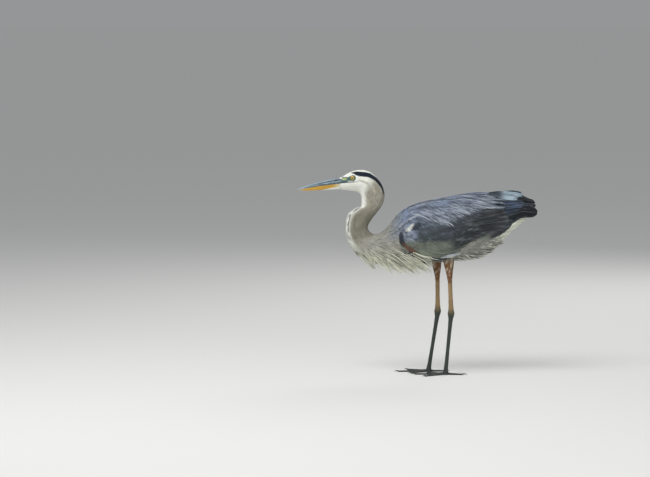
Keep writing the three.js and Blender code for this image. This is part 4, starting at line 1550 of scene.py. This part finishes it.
def plume_reach(kind, points, rng):
    """How long plumes from these roots have to be to hang as low as their kind does, in millimetres."""
    x, _, z = millimetres(points)
    along = fan_way(points)[:, 0]
    drop = 0.75 * PLUME_SAG - fan_way(points)[:, 2]
    end = table(PLUME_ENDS, x + (z - 310) * along / drop)
    reach = 1.05 * (z - end) / drop * rng.uniform(*kind.reach, len(x)) + rng.uniform(*kind.more, len(x))
    return np.minimum(reach, (PLUMES_END_AT - x) / along * rng.uniform(0.85, 1, len(x)))


def under_wings(points):
    """Points kept inside the folded wings."""
    x, y, z = millimetres(points)
    right_x, right_z = lifted(x, z, -RIGHT_WING_LIFT)
    from_x, from_z = np.where(y > 0, right_x, x), np.where(y > 0, right_z, z)
    bulge, thick, top_y, top_z, low_y, low_z = (wing_line(from_x, row) for row in range(1, 7))
    down = np.clip((top_z - from_z) / (top_z - low_z), 0, 1)
    arch = np.sin(np.pi * down)
    inside = mix(top_y, low_y, down) + bulge * arch - thick / 2 * arch ** 0.75 - 3
    return np.stack([x, np.clip(y, -inside, inside), z], -1) * MM


def feather_belly():
    """The flanks, belly and vent, where the wings don't hide them."""
    coat = Coat("belly_feathers", 51)
    size = sized(((16, 24), (20, 32), (24, 38)), ((16, 2.4), (20, 3.4), (24, 2.8)))

    def keep(points, a, b):
        x, _, z = millimetres(points)
        return 1 - ramp(x, -52, -44) * ramp(z - wing_hem(x), 12, 20)

    cover(coat, BODY_FORM, (16.3, 23.9), ALL_ROUND, size, body_tint, sizes().layers, ROUND, keep,
          depth=skin_depth, tip=1.2, stray=0.14, ridge=0.25, shade=0.1, cells=(120, 110), band=(0, 0.7))
    vent_fan(coat)
    coat.feathered("body_feathers", 0.85, 7.0, 0.1)


def vent_fan(coat):
    """Loose grey feathers with cream tips behind the thighs, and longer white ones under the tail."""
    dyed, rng = dyes(), coat.rng
    for count, stations, long, base, drop, band in (
        (300, (18.0, 21.5), (34, 58), "flank", 0.5, (0.71, 0.85)),
        (150, (21.0, 23.3), (44, 70), "vent", -0.42, (0.86, 1)),
    ):
        a = rng.uniform(*stations, count)
        b = math.pi + rng.choice((-1, 1), count) * rng.uniform(0.05, 1.0, count)
        length = rng.uniform(*long, count) * MM

        def stream(points):
            inwards = -0.2 * np.sign(points[..., 1])
            return np.stack([np.ones_like(inwards), inwards, np.full_like(inwards, -drop)], -1)

        free, turns = ((0, 0), (0.35, 0.3), (1, 0.9)), rng.normal(0, 0.15, count)
        points, normals, _, _ = walk(BODY_FORM, a, b, length, SOFT, turns, None, free, stream)
        points = under_wings(gathered(points, rng, 4, 0.35, SOFT))
        tips = ramp(lengthwise(SOFT), 0.62, 0.95) * rng.uniform(0.1, 1, (count, 1))
        spine = seated(points, normals, SOFT, -2.0, 2.5 * rng.random(count))
        tint = varied(rng, tinted(getattr(dyed, base), dyed.vent, tips), 0.12)
        roots, half = spread(BODY_FORM, a, b, band), 3 * MM * rng.uniform(0.7, 1.2, count)
        coat.lay(spine, normals, half, 0.3 * MM, tint, roots, SOFT, camber=0.2)


def cape_tint(points, a, b):
    """The tint of the back."""
    dyed = dyes()
    x, drop = points[..., 0] / MM, np.abs(b) / MM
    streaky = cloud(b / MM * 0.3, a * 1.3, 6)
    fine = cloud(b / MM * 0.8, a * 3.1, 16)
    band = ramp(drop, 6, 15) * ramp(drop, 44, 32) * ramp(x, 110, 210)
    return washed(
        dyed.mantle,
        (dyed.breast, 0.8 * ramp(x, -15, -85)),
        (dyed.mantle_pale, 0.7 * ramp(streaky, 0.55, 0.85) + 0.3 * ramp(fine, 0.65, 0.95)),
        # Darker streaks, a band over the upper back and fine flecks: painted shade in the gaps between the
        # feathers.
        (dyed.mantle_dark, 0.85 * ramp(streaky, 0.5, 0.15)),
        (dyed.mantle_dark, 0.35 * band * mix(0.3, 1, fine)),
        (dyed.mantle_dark, 0.6 * ramp(fine, 0.4, 0.1)),
    )


def cape_way(points):
    """The lie of the back feathers: back along the spine, and a little down the sides."""
    x, y, _ = millimetres(points)
    fall = np.sign(y) * ramp(np.abs(y), 8, 45)
    return unit(np.stack([np.ones_like(x), 0.25 * fall, -0.3 * np.abs(fall) + 0.45 * ramp(x, 0, -80)], -1))


def feather_mantle():
    """The mantle over the back and the shoulders."""
    coat = Coat("mantle_feathers", 61)
    lengths, halves = ((15.3, 0.45), (17, 0.65), (20, 0.9), (23.7, 1.1)), ((15.3, 1.5), (20, 2.4))

    def keep(points, a, b):
        drop, x = np.abs(b) / MM, points[..., 0] / MM
        edge = table(((-40, 72), (-10, 60), (12, 66), (40, 84), (150, 60), (230, 36), (265, 18), (290, 6)), x)
        return (1 - ramp(drop, edge, edge + 10)) * ramp(x, 292, 262)

    size = sized(lengths, halves, sizes().mantle_feather)
    cover(coat, CAPE_FORM, (15.2, 23.0), (-0.15, 0.15), size, cape_tint, sizes().layers * 1.2, POINTED, keep,
          depth=3.2, tip=0.5, stray=0.1, lie=cape_way, ridge=0.22, shade=0.15, rim=(dyes().mantle_pale, 0.15),
          cells=(130, 120))
    coat.feathered("body_feathers", 0.75, 7.0, 0.1)


def seen_at(form, x, z, sign):
    """The places on one side of a form that show at x and z, in metres, in a view square to that side."""
    a, b = np.meshgrid(np.linspace(*form.rows), np.linspace(*form.columns), indexing="ij")
    mine = np.nonzero((form.net[..., 1] * sign > -0.5 * MM).ravel())[0]
    tree = tree_of(mine, form.net.reshape(-1, 3)[mine] * (1, 0, 1))
    found = np.array([tree.find((px, 0, pz))[1] for px, pz in zip(x.ravel(), z.ravel())]).reshape(x.shape)
    a, b = a.ravel()[found], b.ravel()[found]
    step_a, step_b = ((end - start) / (count - 1) for start, end, count in (form.rows, form.columns))
    point, _, run_a, run_b = form.at(a, b)
    off_x, off_z = x - point[..., 0], z - point[..., 2]
    area = run_a[..., 0] * run_b[..., 2] - run_a[..., 2] * run_b[..., 0]
    area = np.where(np.abs(area) < 1e-6, np.inf, area)
    more_a = np.clip((off_x * run_b[..., 2] - off_z * run_b[..., 0]) / area, -step_a, step_a)
    more_b = np.clip((run_a[..., 0] * off_z - run_a[..., 2] * off_x) / area, -step_b, step_b)
    return a + more_a, b + more_b


SCAPULARS_EACH_SIDE = 520
PLUME_TIPS = (  # where the shoulders' plumes end, as [x, z], and how steeply they fall there, in degrees
    (30, 496, 38), (62, 480, 46), (96, 470, 48), (114, 474, 46), (138, 493, 42), (154, 503, 38),
    (176, 512, 34), (204, 526, 24), (236, 529, 17), (268, 530, 10), (300, 534, 6),
)


def drooping(tip_x, tip_z, fall, length, shares):
    """The x and z of lines that steepen towards their tips, at shares of their length."""
    angle = mix(0.06, fall[:, None] * 1.15, shares ** 1.9)
    middle = (angle[:, 1:] + angle[:, :-1]) / 2
    steps = np.diff(shares) * length[:, None]
    start = np.zeros((len(length), 1))
    x = np.concatenate([start, np.cumsum(np.cos(middle) * steps, 1)], 1)
    z = -np.concatenate([start, np.cumsum(np.sin(middle) * steps, 1)], 1)
    return x + (tip_x - x[:, -1])[:, None], z + (tip_z - z[:, -1])[:, None]


def hang_scapulars():
    """The long pale-tipped plumes that hang from the shoulders over the wings."""
    coat, dyed = Coat("scapular_plumes", 65), dyes()
    rng = coat.rng
    places, heights, falls = np.array(PLUME_TIPS, float).T
    shares, count = lengthwise(LANCE_LONG), SCAPULARS_EACH_SIDE
    for _, sign in SIDES:
        tip_x = rng.uniform(38, 284, count)
        above = rng.random(count) ** 1.9
        tip_z = np.interp(tip_x, places, heights) + 54 * above
        fall = np.radians(np.interp(tip_x, places, falls) * mix(1, 0.55, (tip_z - heights.min()) / 120))
        fall = fall + rng.normal(0, 0.05, count)
        length = sizes().scapular / MM * rng.uniform(0.6, 1.15, count)
        x, z = drooping(tip_x, tip_z, fall, length, shares)
        a, b = seen_at(CAPE_FORM, x * MM, z * MM, sign)
        points, normals, _, _ = CAPE_FORM.at(a, b)
        for _ in range(2):
            eased(points.swapaxes(0, 1))
        points = gathered(points, rng, 4, 0.35, LANCE_LONG)
        light = (rng.random(count) < 0.5)[:, None]
        bright = mix(0.9, 0.3, above)[:, None] * rng.uniform(0.5, 1, (count, 1))
        tint = washed(
            cape_tint(points, a, b),
            # The plumes darkened beyond their roots, half of them strongly: painted shade among the plumes.
            (dyed.mantle_dark, np.where(light, 0.1, 0.95 * bright) * ramp(shares, 0.1, 0.5)),
            (dyed.mantle_pale, np.where(light, bright, 0.1) * ramp(shares, 0.4, 0.85)),
        )
        high = 1.2 + 1.6 * rng.random(count) + 2.0 * ramp(tip_x, 190, 240)
        spine = seated(points, normals, LANCE_LONG, -0.8, high)
        half = rng.uniform(0.9, 1.7, count) * MM
        roots = spread(CAPE_FORM, a[:, 0], b[:, 0], (0, 0.49) if sign < 0 else (0.51, 1))
        coat.lay(spine, normals, half, 0.32 * MM, varied(rng, tint), roots, LANCE_LONG, camber=0.1)
    coat.feathered("body_feathers", 0.7, 7.0, 0.08)


def wing_way(points):
    """The lie of the wing coverts: back along the wing, steeper towards its lower front edge."""
    x, _, z = millimetres(points)
    height = np.clip((z - wing_hem(x)) / (wing_top(x) - wing_hem(x)), 0, 1)
    steep = table(((-60, 58), (-30, 50), (30, 40), (110, 28), (220, 14), (330, 0)), x)
    return falling(np.radians(steep * mix(1.25, 0.6, height)))


def wing_sheet(sign, out, rows, columns):
    """A face of a wing as a form, or a sheet between its faces."""
    away = (0, math.copysign(sign, out * sign), 0)
    return Form(wing_place(sign, out), (0, WING_END, rows), columns, closed=False, away=away)


def feather_wing(side, sign):
    """The coverts of one wing, on its outer face and a little way up its inner one."""
    coat, dyed = Coat(f"wing_coverts_{side}", 71 + sign), dyes()
    outside, inside = wing_sheet(sign, 1, 221, (-0.1, 1.1, 61)), wing_sheet(sign, -1, 121, (0.5, 1.05, 41))
    size = sized(((0, 0.45), (1, 0.55), (3, 0.75), (7, 1.1)), ((0, 1.0), (3, 1.9), (7, 3.0)), sizes().covert)

    def keep(points, a, b):
        x, _, z = millimetres(points)
        rear = table(((385, 118), (450, 116), (504, 160), (540, 200)), z)
        return ramp(x - rear, 10, 0) * ramp(z - wing_hem(x) + ramp(x, -30, -50) * 30, 2, 10)

    cover(coat, outside, (0.02, 7.4), (0.0, 1.02), size, wing_tint, sizes().layers * 1.1, POINTED, keep,
          depth=1.4, tip=0.35, stray=0.1, lie=wing_way, ridge=0.18, shade=0.17, rim=(dyed.mantle_pale, 0.1),
          cells=(110, 90), band=(0, 0.78))
    cover(coat, inside, (0.1, 5.2), (0.72, 1.02), size, wing_tint, 3.5, ROUND, keep,
          depth=1.0, tip=0.3, stray=0.12, lie=wing_way, ridge=0.2, shade=0.08, cells=(90, 30), band=(0.8, 1))
    coat.feathered("wing_coverts", 0.75, 7.0, 0.1, [f"wing_{side}_shoulder"])


# Fans of big feathers on a wing, from the lowest to the highest: how many, where their roots and tips lie as
# [x, z], their half width, their lift off the wing, how far they may stand over its upper edge, how far their
# ends stray along X, the dye, and how pale their edges are.
WING_FANS = (
    SimpleNamespace(
        count=12, roots=((150, 450), (190, 485), (205, 522)),
        tips=((330, 507), (354, 508), (374, 511), (384, 516), (382, 523), (370, 532), (348, 542)), half=8,
        lift=(-1.8, 0.4), over=0, stray=1.5, dye="primary", edge=0.5,
    ),
    SimpleNamespace(
        count=19, roots=((-10, 424), (40, 445), (80, 475), (120, 510)),
        tips=((132, 397), (168, 417), (214, 437), (252, 446), (299, 474), (300, 495), (276, 524)), half=12,
        lift=(-0.6, 2.2), over=0, stray=2, dye="secondary", edge=0.85,
    ),
    SimpleNamespace(
        count=11, roots=((150, 522), (165, 538), (185, 552)),
        tips=((288, 519), (326, 529), (343, 541), (336, 553)), half=6,
        lift=(0.9, 1.9), over=0, stray=7, dye="tertial", edge=0.6,
    ),
    SimpleNamespace(
        count=24, roots=((30, 412), (90, 440), (150, 500)),
        tips=((112, 402), (166, 428), (206, 452), (262, 512)), half=6,
        lift=(1.4, 2.8), over=0, stray=9, dye="greater", edge=0.45,
    ),
    SimpleNamespace(
        count=28, roots=((-20, 410), (40, 430), (110, 490)),
        tips=((66, 391), (112, 406), (150, 440), (205, 502)), half=5.5,
        lift=(2.4, 4.0), over=0, stray=8, dye="greater", edge=0.45,
    ),
    SimpleNamespace(
        count=7, roots=((222, 576), (252, 592)), tips=((319, 556), (331, 574)), half=3.4, lift=(3.2, 4.2),
        over=17, stray=6, dye="tertial_pale", edge=0.1,
    ),
)
# The long smooth feathers of the wing's lower edge: [x, z] at their roots and tips, half width and dye.
HEM = (
    ((-6, 391), (72, 372), 2.3, "vent"),
    ((-14, 396), (52, 377), 2.0, "plume_pale"),
    ((30, 380), (106, 376), 2.2, "black"),
    ((72, 380), (128, 391), 2.0, "mantle_pale"),
    ((84, 385), (138, 398), 1.8, "mantle_pale"),
)


def strips(count, across):
    """Places and sizes in the bake map for big feathers, side by side in rows."""
    down = math.ceil(count / across)
    column, row = np.arange(count) % across, np.arange(count) // across
    return np.stack([(column + 0.5) / across, (row + 0.5) / down], -1), (0.9 / across, 0.92 / down)


def on_wing(x, z):
    """The station of a place on a wing, and how far down it lies."""
    return wing_station(x), (wing_top(x) - z) / (wing_top(x) - wing_hem(x))


def fan_ends(fan, line, rng, sign):
    """Where the roots or the tips of a fan lie on the wing. Only the left wing's may stand over its edge."""
    order, knots, strays = np.linspace(0, 1, fan.count), np.linspace(0, 1, len(line)), (fan.stray, 1.0)
    x, z = (
        np.interp(order, knots, run) + rng.normal(0, off, fan.count) for run, off in zip(zip(*line), strays)
    )
    return on_wing(x, np.minimum(z, wing_top(x) - fan.half + (fan.over if sign < 0 else 0)))


def fan_tint(fan, points, order, sign):
    """The tints of a fan: its own dye under the markings that cross the wing, and streaks of its own."""
    dyed = dyes()
    x, _, z = millimetres(points)
    crest = 0.8 * ramp(wing_top(x) - z, 10, 2) * ramp(x - (30 if sign > 0 else 0), 316, 276)
    shadowed = np.maximum(ramp(x, 288, 258), ramp(cloud(x * 0.02 + order * 9, z * 0.05, 14), 0.3, 0.6))
    streaks = ramp(cloud(x * 0.04 + order * 11, z * 0.16, 15), 0.55, 0.85)
    patchy = cloud(x * 0.05, z * 0.11 + order * 3, 7)
    tint = washed(
        getattr(dyed, fan.dye),
        (dyed.primary, 0.35 * ramp(lengthwise(FLIGHT), 0.75, 1) * np.ones(x.shape)),
        (dyed.covert_low, olive(x, z) * (0.2 if fan.dye == "primary" else 0.85)),
        (dyed.mantle, crest * (fan.dye != "tertial_pale")),
        # The pale tertial darker towards its root, where the scapular plumes lie over it: painted shade.
        (dyed.mantle_dark, 0.9 * ramp(x, 282, 258) * (fan.dye == "tertial_pale")),
        # Tertials: the blue dye kept on a narrow band is a painted highlight, and the shadowed rest painted
        # shade.
        (dyed.primary, 0.85 * shadowed * (fan.dye == "tertial")),
        (dyed.edge, 0.4 * streaks * (fan.dye in ("secondary", "greater"))),
    )
    return tint * mix(0.45, 1.55, patchy)[..., None]


def feather_flight(side, sign):
    """The flight feathers and the greatest coverts of one wing."""
    coat = Coat(f"flight_feathers_{side}", 81 + sign)
    rng = coat.rng
    sheet = wing_sheet(sign, 0.3, 221, (-0.2, 1.2, 81))
    places, patch = strips(sum(fan.count for fan in WING_FANS) + len(HEM), 17)
    shares = lengthwise(FLIGHT)
    for fan in WING_FANS:
        (root_a, root_b), (tip_a, tip_b) = (fan_ends(fan, line, rng, sign) for line in (fan.roots, fan.tips))
        order = np.linspace(0, 1, fan.count)[:, None]
        a = mix(root_a[:, None], tip_a[:, None], shares)
        b = mix(root_b[:, None], tip_b[:, None], shares) + 0.05 * np.sin(shares * np.pi)
        points, normals, _, _ = sheet.at(a, b)
        lift = mix(*fan.lift, order)
        lift = mix(np.minimum(lift, -1.0), lift, ramp(shares, 0, 0.35))
        spine = points + normals * (lift * MM)[..., None]
        tint = fan_tint(fan, points, order, sign)
        half = fan.half * rng.uniform(0.92, 1.08, fan.count) * MM
        coat.lay(spine, normals, half, 0.5 * MM, varied(rng, tint, 0.06), places[:fan.count], FLIGHT, BLADE,
                 camber=0.1, rim=(dyes().edge, fan.edge), patch=patch)
        places = places[fan.count:]
    lay_hem(coat, sheet, places, patch)
    nodes = [f"wing_{side}_fold", f"wing_{side}_primaries"]
    coat.feathered("flight_feathers", 0.65, 6.0, 0.12, nodes)


def lay_hem(coat, sheet, places, patch):
    """The long smooth feathers of a wing's lower edge."""
    shares = lengthwise(LANCE_LONG)
    for (root, tip, half, kind), place in zip(HEM, places):
        x, z = (mix(start, end, shares) for start, end in zip(root, tip))
        a, b = on_wing(x, z - 2.5 * np.sin(shares * np.pi))
        points, normals, _, _ = sheet.at(a[None], b[None])
        spine = points + normals * 3.5 * MM
        tint = np.broadcast_to(getattr(dyes(), kind), spine.shape)
        coat.lay(spine, normals, half * MM, 0.4 * MM, tint, place[None], LANCE_LONG, BLADE, camber=0.2,
                 patch=patch)


def feather_tail():
    """The tail: a flat fan of rounded feathers, the middle pair on top."""
    coat, dyed = Coat("tail_feathers", 91), dyes()
    places, patch = strips(TAIL.count, TAIL.count)
    shares, side = lengthwise(FLIGHT), np.linspace(-1, 1, TAIL.count)[:, None]
    reach = shares * (1 - 0.035 * side ** 2)
    x, z = (mix(root, tip, reach) for root, tip in zip(TAIL.root, TAIL.tip))
    y = side * mix(6, TAIL.spread - 8, reach)
    spine = np.stack([x, y, z - 3.2 * side ** 2 + 0.5 * (1 - np.abs(side))], -1) * MM
    slope = (TAIL.tip[1] - TAIL.root[1]) / (TAIL.tip[0] - TAIL.root[0])
    normals = np.broadcast_to(unit(np.array([-slope, 0, 1.0])), spine.shape).copy()
    normals[..., 1] = 0.25 * side
    tint = tinted(dyed.tertial, dyed.primary, ramp(shares, 0.8, 1) * np.ones(x.shape))
    coat.lay(spine, unit(normals), 9.5 * MM, 0.5 * MM, varied(coat.rng, tint, 0.05), places, FLIGHT, BLADE,
             camber=0.08, rim=(dyed.edge, 0.3), patch=patch)
    coat.feathered("tail_feathers", 0.55, 6.0, 0.08, ["tail"])


def feather_thighs():
    """Short dense feathers down the thighs."""
    coat, dyed = Coat("thigh_feathers", 101), dyes()
    size = sized(((290, 9), (330, 15), (400, 24)), ((290, 1.2), (400, 2.6)))

    def keep(points, a, b):
        return ramp(a, FEATHERED_DOWN_TO + 1, FEATHERED_DOWN_TO + 6)

    def tint(points, a, b):
        x, y, z = millimetres(points)
        patchy = cloud((x + y) * 0.16, (z - x) * 0.13, 12)
        return washed(
            leg_tint(points),
            (dyed.breast_pale, 0.4 * ramp(patchy, 0.5, 0.9) * ramp(z, 395, 350)),
            (dyed.plume_dark, 0.45 * ramp(patchy, 0.45, 0.1)),
        )

    for index, leg in enumerate(LEGS.values()):
        coat.rng, first = np.random.default_rng(101 + index), 0.5 * index
        form = Form(leg_place(leg), (285, LEG_TOP, 90), (*ALL_ROUND, 49))
        cover(coat, form, (FEATHERED_DOWN_TO, 400), ALL_ROUND, size, tint, sizes().layers * 1.4, POINTED,
              keep, depth=1.2, tip=0.4, turn=math.pi, stray=0.12, ridge=0.15, shade=0.12, cells=(90, 48),
              band=(first, first + 0.49))
    coat.feathered("thigh_feathers", 0.85, 9.0, 0.1)


SHIELD = ((0, 0.8), (0.45, 1), (0.85, 0.8), (1, 0))  # the outline of a scale
SHIELD_STEP = SimpleNamespace(leg=4.6, toe=3.6)  # from one broad scale to the next


def scale_legs():
    """Overlapping scales down the bare legs, and shields across the tops of the toes."""
    coat = Coat("leg_scales", 111)
    size = sized(((0, 4.2),), ((0, 1.5),))
    for index, leg in enumerate(LEGS.values()):
        first = 0.5 * index
        form = Form(leg_place(leg), (0, 300, 200), (*ALL_ROUND, 49))
        cover(coat, form, (14, 292), ALL_ROUND, size, leg_tint, 1.7, SHIELD, depth=0.05, tip=0.22,
              turn=math.pi, stray=0.05, ridge=0.22, shade=0.12, cells=(110, 30), band=(first, first + 0.24))
        heights = np.arange(20, 186, SHIELD_STEP.leg)
        angles = math.pi + np.tile((-0.42, 0.42), len(heights))
        shields(coat, form, np.repeat(heights, 2), angles, (6.6, 2.6), math.pi, (first + 0.25, first + 0.3))
        for toe_index, (turn, length, _) in enumerate(TOES):
            toe = Form(toe_place(leg, turn, length), (0, 1, 60), (*ALL_ROUND, 49))
            along = np.linspace(0.1, 0.93, int(length / SHIELD_STEP.toe))
            top = np.full(len(along), math.pi / 2)
            start = first + 0.31 + 0.045 * toe_index
            shields(coat, toe, along, top, (5.2, 3.6), 0.0, (start, start + 0.04))
    coat.piece(scale_material(), "lower_leg_skin")


def shields(coat, form, a, b, size, turn, band):
    """A run of broad scales, each over the root of the next. size is their length and half width."""
    length, half = (np.full(len(a), number * MM) for number in size)
    points, normals, _, _ = walk(form, a, b, length, SHIELD, np.full(len(a), turn))
    spine = seated(points, normals, SHIELD, -0.15, 0.45)
    tints = varied(coat.rng, leg_tint(points), 0.06)
    coat.lay(spine, normals, half, 0.2 * MM, tints, spread(form, a, b, band), SHIELD, camber=0.35)


# ---- stage ----
LAMPS = (  # name, which power, size and place, in metres
    ("key", "key", 2.4, (-1.6, -1.8, 3.8)),
    ("fill", "fill", 3, (1.5, -4.0, 1.4)),
    ("rim", "fill", 2, (1.4, 3.0, 2.6)),
)
LAMPS_AIM = Vector((0, 0, 0.45))
CAMERA_AIM = Vector((-0.296, 0, 0.434))
SKY_COLOUR = (0.93, 0.96, 1, 1)
FAR_CLIP = 1000


def lay_floor(stage):
    """The plain pale floor."""
    bm = bmesh.new()
    bmesh.ops.create_grid(bm, x_segments=2, y_segments=2, size=stage.floor)
    floor = in_scene("floor", mesh_of(bm, "floor"))
    made, _, shader = new_material("floor", 0.9)
    shader.inputs["Base Color"].default_value = (*stage.floor_colour, 1)
    floor.data.materials.append(made)


def light_sky(stage):
    """Soft light from all round, before a backdrop as grey as the far floor, so that no horizon shows."""
    sky = bpy.data.worlds.new("sky")
    sky.use_nodes = True
    tree = sky.node_tree
    glow = tree.nodes["Background"]
    glow.inputs["Color"].default_value = SKY_COLOUR
    glow.inputs["Strength"].default_value = stage.sky
    backdrop = wire(tree, "ShaderNodeBackground", {"Color": (*stage.backdrop, 1)})
    ray = wire(tree, "ShaderNodeLightPath")
    parts = {0: ray.outputs["Is Camera Ray"], 1: glow.outputs[0], 2: backdrop.outputs[0]}
    shown = wire(tree, "ShaderNodeMixShader", parts)
    tree.links.new(shown.outputs[0], tree.nodes["World Output"].inputs["Surface"])
    bpy.context.scene.world = sky
    bpy.context.scene.view_settings.view_transform = "Standard"


def hang_lamps(stage):
    """The soft lamps."""
    for name, power, size, place in LAMPS:
        light = bpy.data.lights.new(name, "AREA")
        light.energy, light.size = getattr(stage, power), size
        lamp = in_scene(name, light)
        lamp.location = place
        lamp.rotation_euler = (LAMPS_AIM - lamp.location).to_track_quat("-Z", "Y").to_euler()


def aim_camera(stage):
    """The camera, square to the bird's left side and a little above it."""
    camera = in_scene("camera", bpy.data.cameras.new("camera"))
    camera.data.lens = camera.data.sensor_width * stage.distance / stage.view_width
    camera.data.clip_end = FAR_CLIP
    back = Vector((0, -math.cos(stage.elevation), math.sin(stage.elevation)))
    camera.location = CAMERA_AIM + back * stage.distance
    camera.rotation_euler = (-back).to_track_quat("-Z", "Y").to_euler()
    bpy.context.scene.camera = camera


def build_stage():
    """A plain pale floor, soft lights and the camera."""
    for part in (lay_floor, light_sky, hang_lamps, aim_camera):
        part(bpy.context.scene.heron_stage)


BODY_FORM = Form(body_place, (0, BODY_END, 385), (*ALL_ROUND, 97))
CAPE_FORM = cape_form()


# ---- operators ----
class BuildSkin(bpy.types.Operator):
    """Build the one skin of head, neck, trunk, arms and legs"""

    bl_idname = "heron.skin"
    bl_label = "Skin"

    def execute(self, context):
        build_skin()
        return {"FINISHED"}


class BuildBill(bpy.types.Operator):
    """Build the upper and the lower bill"""

    bl_idname = "heron.bill"
    bl_label = "Bill"

    def execute(self, context):
        build_bill()
        return {"FINISHED"}


class BuildEyes(bpy.types.Operator):
    """Build the two eyes"""

    bl_idname = "heron.eyes"
    bl_label = "Eyes"

    def execute(self, context):
        build_eyes()
        return {"FINISHED"}


class BuildClaws(bpy.types.Operator):
    """Build the claws"""

    bl_idname = "heron.claws"
    bl_label = "Claws"

    def execute(self, context):
        build_claws()
        return {"FINISHED"}


class FeatherHeadAndNeck(bpy.types.Operator):
    """Cover the head and the neck with feathers"""

    bl_idname = "heron.head_and_neck"
    bl_label = "Head and Neck Feathers"

    def execute(self, context):
        feather_head()
        feather_neck()
        return {"FINISHED"}


class FeatherBreast(bpy.types.Operator):
    """Cover the breast, and hang its long plumes"""

    bl_idname = "heron.breast"
    bl_label = "Breast Feathers and Plumes"

    def execute(self, context):
        feather_breast()
        hang_plumes()
        return {"FINISHED"}


class FeatherBody(bpy.types.Operator):
    """Cover the belly, the vent, the back and the shoulders"""

    bl_idname = "heron.body"
    bl_label = "Body Feathers"

    def execute(self, context):
        feather_belly()
        feather_mantle()
        hang_scapulars()
        return {"FINISHED"}


class FeatherWings(bpy.types.Operator):
    """Cover both wings, with their flight feathers"""

    bl_idname = "heron.wings"
    bl_label = "Wings"

    def execute(self, context):
        for side, sign in SIDES:
            feather_wing(side, sign)
            feather_flight(side, sign)
        return {"FINISHED"}


class FeatherTail(bpy.types.Operator):
    """Build the tail"""

    bl_idname = "heron.tail"
    bl_label = "Tail"

    def execute(self, context):
        feather_tail()
        return {"FINISHED"}


class CoverLegs(bpy.types.Operator):
    """Cover the thighs with feathers and the bare legs with scales"""

    bl_idname = "heron.legs"
    bl_label = "Thighs and Scales"

    def execute(self, context):
        feather_thighs()
        scale_legs()
        return {"FINISHED"}


class BuildStage(bpy.types.Operator):
    """Lay the floor, and set up the lights and the camera"""

    bl_idname = "heron.stage"
    bl_label = "Stage"

    def execute(self, context):
        build_stage()
        return {"FINISHED"}


PIECE_OPERATORS = (
    BuildSkin, BuildBill, BuildEyes, BuildClaws, FeatherHeadAndNeck, FeatherBreast, FeatherBody, FeatherWings,
    FeatherTail, CoverLegs, BuildStage,
)


class HeronPanel(bpy.types.Panel):
    """Lists the settings and the operators of the heron"""

    bl_idname = "VIEW3D_PT_heron"
    bl_label = "Heron"
    bl_space_type = "VIEW_3D"
    bl_region_type = "UI"
    bl_category = "Heron"

    def draw(self, context):
        column = self.layout.column(align=True)
        for operator in PIECE_OPERATORS:
            column.operator(operator.bl_idname)
        for group in (context.scene.heron_sizes, context.scene.heron_colours, context.scene.heron_stage):
            box = self.layout.box()
            for key in type(group).__annotations__:
                box.prop(group, key)


CLASSES = (HeronColours, HeronSizes, HeronStage, *PIECE_OPERATORS, HeronPanel)


def register():
    """Adds the classes and the scene's settings."""
    for cls in CLASSES:
        bpy.utils.register_class(cls)
    bpy.types.Scene.heron_colours = bpy.props.PointerProperty(type=HeronColours)
    bpy.types.Scene.heron_sizes = bpy.props.PointerProperty(type=HeronSizes)
    bpy.types.Scene.heron_stage = bpy.props.PointerProperty(type=HeronStage)


def unregister():
    """Takes them away again."""
    del bpy.types.Scene.heron_stage
    del bpy.types.Scene.heron_sizes
    del bpy.types.Scene.heron_colours
    for cls in reversed(CLASSES):
        bpy.utils.unregister_class(cls)


def main():
    """Builds the whole heron."""
    register()
    for operator in PIECE_OPERATORS:
        group, name = operator.bl_idname.split(".")
        getattr(getattr(bpy.ops, group), name)()


if __name__ == "__main__":
    main()
